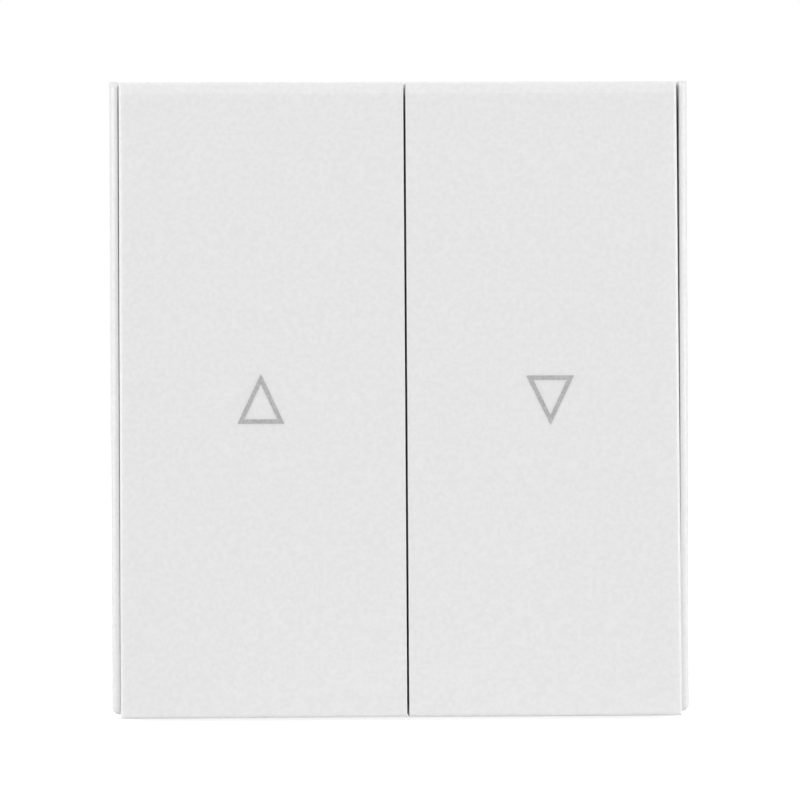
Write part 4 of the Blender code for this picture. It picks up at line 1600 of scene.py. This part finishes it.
@dataclass
class ClampingSet:
    """Terminal screws with rolled threads, and the pressed plates under their heads."""

    terminals: list[Terminal]
    head_radius: float = 2.8
    head_height: float = 2.0
    head_dome: float = 0.45
    head_y: float = 21.95
    tip_y: float = 15.3
    thread_radius: float = 1.6
    thread_depth: float = 0.3
    pitch: float = 0.6
    thread_sides: int = 20
    tip_chamfer: float = 0.48
    slot_half: float = 0.4
    slot_depth: float = 1.0
    cross_half: float = 1.68
    cross_radius: float = 0.35
    plate_half: Limits = (4.4, 3.3)
    plate_y: Limits = (20.8, 21.8)
    plate_corner: float = 0.4
    fine_radius: float = 0.15
    groove_depth: float = 0.4
    groove_half: float = 1.0
    wire_offset: float = 2.9
    hole_radius: float = 1.85

    def thread(self) -> Workpiece:
        """Roll the thread: an off-centre ring drawn along a helix, trimmed to a pointed shank.

        Returns:
            The threaded shank.
        """
        aside, sides = self.thread_depth / 2, self.thread_sides
        start, end = self.tip_y - self.pitch, self.head_y + self.slot_half
        thread = Workpiece.ring("thread", self.thread_radius - aside, (aside, start, 0), sides, filled=False)
        thread.wind(self.pitch, math.ceil((end - start) / self.pitch), sides).close_ends()
        envelope = Workpiece.rod("envelope", Axis.Y, self.thread_radius + TOUCH, (self.tip_y, end), 40)
        envelope.round_rim(Axis.Y, -1, self.tip_chamfer, 1)
        return thread.combine(Joining.TRIM, envelope)

    def screw(self) -> Workpiece:
        """Head the screw and cut its crossed slot.

        Returns:
            The screw at the middle of the frame.
        """
        top = self.head_y + self.head_height
        head = Workpiece.rod("screw", Axis.Y, self.head_radius, (self.head_y, top), 64)
        head.round_rim(Axis.Y, 1, self.head_dome, 4).round_rim(Axis.Y, -1, self.fine_radius, 2)
        half, long, short = self.slot_half, self.head_radius + OVER, self.cross_half
        depth = (top - self.slot_depth, top + OVER)
        slot = Workpiece.box("slot", (-long, long), depth, (-half, half))
        cross = Workpiece.box("cross", (-half, half), depth, (-short, short))
        cross.pick(Element.EDGE, along(Axis.X), near(Axis.Y, depth[0])).round_off(self.cross_radius, 3)
        return head.weld(self.thread()).cut(slot, cross).clean()

    def plate(self) -> Workpiece:
        """Press the plate: two wire grooves, a clearance hole and broken edges.

        Returns:
            The plate at the middle of the frame.
        """
        half_x, half_z = self.plate_half
        front, back = self.plate_y
        plate = Workpiece.box("plate", (-half_x, half_x), self.plate_y, (-half_z, half_z))
        plate.pick(Element.EDGE, along(Axis.Y)).round_off(self.plate_corner, 3)
        plate.round_rim(Axis.Y, 1, self.fine_radius, 2)
        depth, half = self.groove_depth, self.groove_half
        radius = (half * half + depth * depth) / (2 * depth)
        middle, span = (0, front + depth - radius), (-half_z - OVER, half_z + OVER)
        groove = Workpiece.rod("groove", Axis.Z, radius, span, 96, at=middle)
        plate.cut(*groove.copies(spot(-self.wire_offset), spot(self.wire_offset)))
        hole = Workpiece.rod("hole", Axis.Y, self.hole_radius, (front - OVER, back + OVER))
        return plate.cut(hole).clean()

    def build(self) -> None:
        """Make one screw and one plate, and set each of them at every terminal."""
        for part, pattern in (("screw", self.screw()), ("clamp", self.plate())):
            pieces = pattern.smooth().copies(*(terminal.place for terminal in self.terminals))
            for terminal, piece in zip(self.terminals, pieces):
                node = f"{terminal.name}_terminal_{part}"
                piece.hand_over(node + "_plated", ZINC, "base", "zinc_plated_steel", node)


# Solids that stay


@dataclass
class CarriedOver:
    """Solids whose shape is right as it is, and which only get their finish."""

    finishes: dict[str, Finish] = field(
        default_factory=lambda: {
            "natural_acetal": ACETAL,
            "tinned_brass": BRASS,
            "contact_silver": SILVER,
        }
    )

    def dress(self, nodes: dict[str, bpy.types.Object], slots: dict[str, str]) -> None:
        """Give each shown node the finish of its slot.

        Args:
            nodes: the frame's nodes by name.
            slots: each node's material slot.
        """
        for name, node in nodes.items():
            if node.hide_render:
                continue
            finish = self.finishes[slots[name]]
            for slot in node.material_slots:
                slot.material = finish.material()
            LOG.info("%s: kept, in %s", name, finish.name)


# Studio


def seen_or_mirrored(tree: bpy.types.NodeTree) -> Socket:
    """Tell rays that show a surface from rays that only light one.

    Args:
        tree: the node tree that asks.

    Returns:
        1 for rays that show it, and 0 for the others.
    """
    path = add_node(tree, "ShaderNodeLightPath").outputs
    seen = path["Is Camera Ray"]
    for kind in ("Is Glossy Ray", "Is Transmission Ray"):
        either = add_node(tree, "ShaderNodeMath", {"operation": "MAXIMUM"}, in0=seen, in1=path[kind])
        seen = either.outputs[0]
    return seen


@dataclass(frozen=True)
class MattPaper(Finish):
    """Matt white paper, whose fibres give the shadow a soft grain.

    A glow that only the camera and mirrors see makes it white; it lights nothing.
    """

    second: str = "F4F4F4"
    reach: Limits = (0.0, 1.0)
    fibre_spacing: float = 0.8
    fibre_detail: float = 3.0
    glow: float = 0.84

    def pattern(self, on: Shading) -> None:
        """Add the fibres and the glow.

        Args:
            on: the material that gets them.
        """
        on.tint(on.grain(self.fibre_spacing, self.fibre_detail))
        glow = add_node(on.tree, "ShaderNodeMapRange", Value=seen_or_mirrored(on.tree), To_Max=self.glow)
        on.tree.links.new(glow.outputs["Result"], on.shader.inputs["Emission Strength"])
        on.shader.inputs["Emission Color"].default_value = (1.0, 1.0, 1.0, 1.0)
        on.shader.inputs["Roughness"].default_value = self.roughness


@dataclass(frozen=True)
class Softbox:
    """Square soft light that faces the part; its power is in watts."""

    name: str
    place: Point
    size: float
    power: float

    def light(self) -> None:
        """Set it up."""
        clear_selection()
        at = Vector(self.place) * MM
        turn = (-at).to_track_quat("-Z", "Y").to_euler()
        bpy.ops.object.light_add(type="AREA", location=at, rotation=turn)
        lamp = bpy.context.active_object
        lamp.name = self.name
        lamp.data.size = self.size * MM
        lamp.data.energy = self.power


@dataclass
class Studio:
    """Pale floor, even light and the photograph's camera."""

    paper: MattPaper = MattPaper("white_paper", "EDEDED", 0.9)
    floor_gap: float = 0.3
    floor_size: float = 6000.0
    surround: float = 0.56
    distance: float = 450.0
    face_y: float = -9.2
    azimuth: float = -2.0
    elevation: float = 0.0
    roll: float = 0.25
    aim: Limits = (-0.07, -0.06)
    field_of_view: float = 7.88
    sensor: float = 36.0
    clip: Limits = (10.0, 20000.0)
    lamps: tuple[Softbox, ...] = (
        Softbox("overhead_softbox", (0.0, -260.0, 720.0), 500.0, 1.9),
        Softbox("left_softbox", (-560.0, -200.0, 40.0), 360.0, 1.5),
        Softbox("right_softbox", (560.0, -200.0, 40.0), 360.0, 1.6),
    )

    def world(self) -> None:
        """Light the scene from all round, and show white behind it."""
        world = bpy.data.worlds.new("white_surround")
        world.use_nodes = True
        tree = world.node_tree
        seen = seen_or_mirrored(tree)
        level = add_node(tree, "ShaderNodeMapRange", Value=seen, To_Min=self.surround, To_Max=1.0)
        background = tree.nodes["Background"]
        background.inputs["Color"].default_value = (1.0, 1.0, 1.0, 1.0)
        tree.links.new(level.outputs["Result"], background.inputs["Strength"])
        bpy.context.scene.world = world

    def floor(self) -> None:
        """Lay the paper just under the part."""
        low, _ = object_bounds()
        clear_selection()
        height = low[2] - self.floor_gap * MM
        bpy.ops.mesh.primitive_plane_add(size=self.floor_size * MM, location=(0, 0, height))
        sheet = Workpiece("paper_floor").obj
        sheet.data.materials.append(self.paper.material())
        sheet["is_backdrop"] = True

    def camera(self) -> None:
        """Put the camera where the photograph was taken from."""
        azimuth = math.radians(self.azimuth)
        elevation = math.radians(self.elevation)
        across = math.cos(elevation)
        back = Vector((math.sin(azimuth) * across, -math.cos(azimuth) * across, math.sin(elevation)))
        target = Vector((self.aim[0], self.face_y, self.aim[1])) * MM
        clear_selection()
        bpy.ops.object.camera_add(location=target + back * self.distance * MM)
        camera = bpy.context.active_object
        camera.name = "photo_camera"
        turn = back.to_track_quat("Z", "Y").to_matrix().to_4x4()
        roll = Matrix.Rotation(math.radians(-self.roll), 4, "Z")
        camera.matrix_world = Matrix.Translation(camera.location) @ turn @ roll
        camera.data.sensor_width = self.sensor
        camera.data.lens = self.sensor / 2 / math.tan(math.radians(self.field_of_view) / 2)
        camera.data.clip_start, camera.data.clip_end = (value * MM for value in self.clip)
        bpy.context.scene.camera = camera

    def build(self) -> None:
        """Set up floor, lights and camera."""
        self.world()
        self.floor()
        for lamp in self.lamps:
            lamp.light()
        self.camera()
        bpy.context.scene.view_settings.view_transform = "Standard"


def main() -> None:
    """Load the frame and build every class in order."""
    logging.basicConfig(level=logging.INFO, format="%(name)s: %(message)s")
    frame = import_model()
    for direction in Direction:
        Rocker.in_frame(direction, frame["joints"]).build()
    FrontFrame().build()
    terminals = [Terminal.at_screw(name) for name in ("up", "down", "feed")]
    Housing(terminals).build()
    ClampingSet(terminals).build()
    slots = {row["node"]: row["material_slot"] for row in frame["record"]["subparts"]}
    CarriedOver().dress(frame["nodes"], slots)
    Studio().build()


if __name__ == "__main__":
    main()
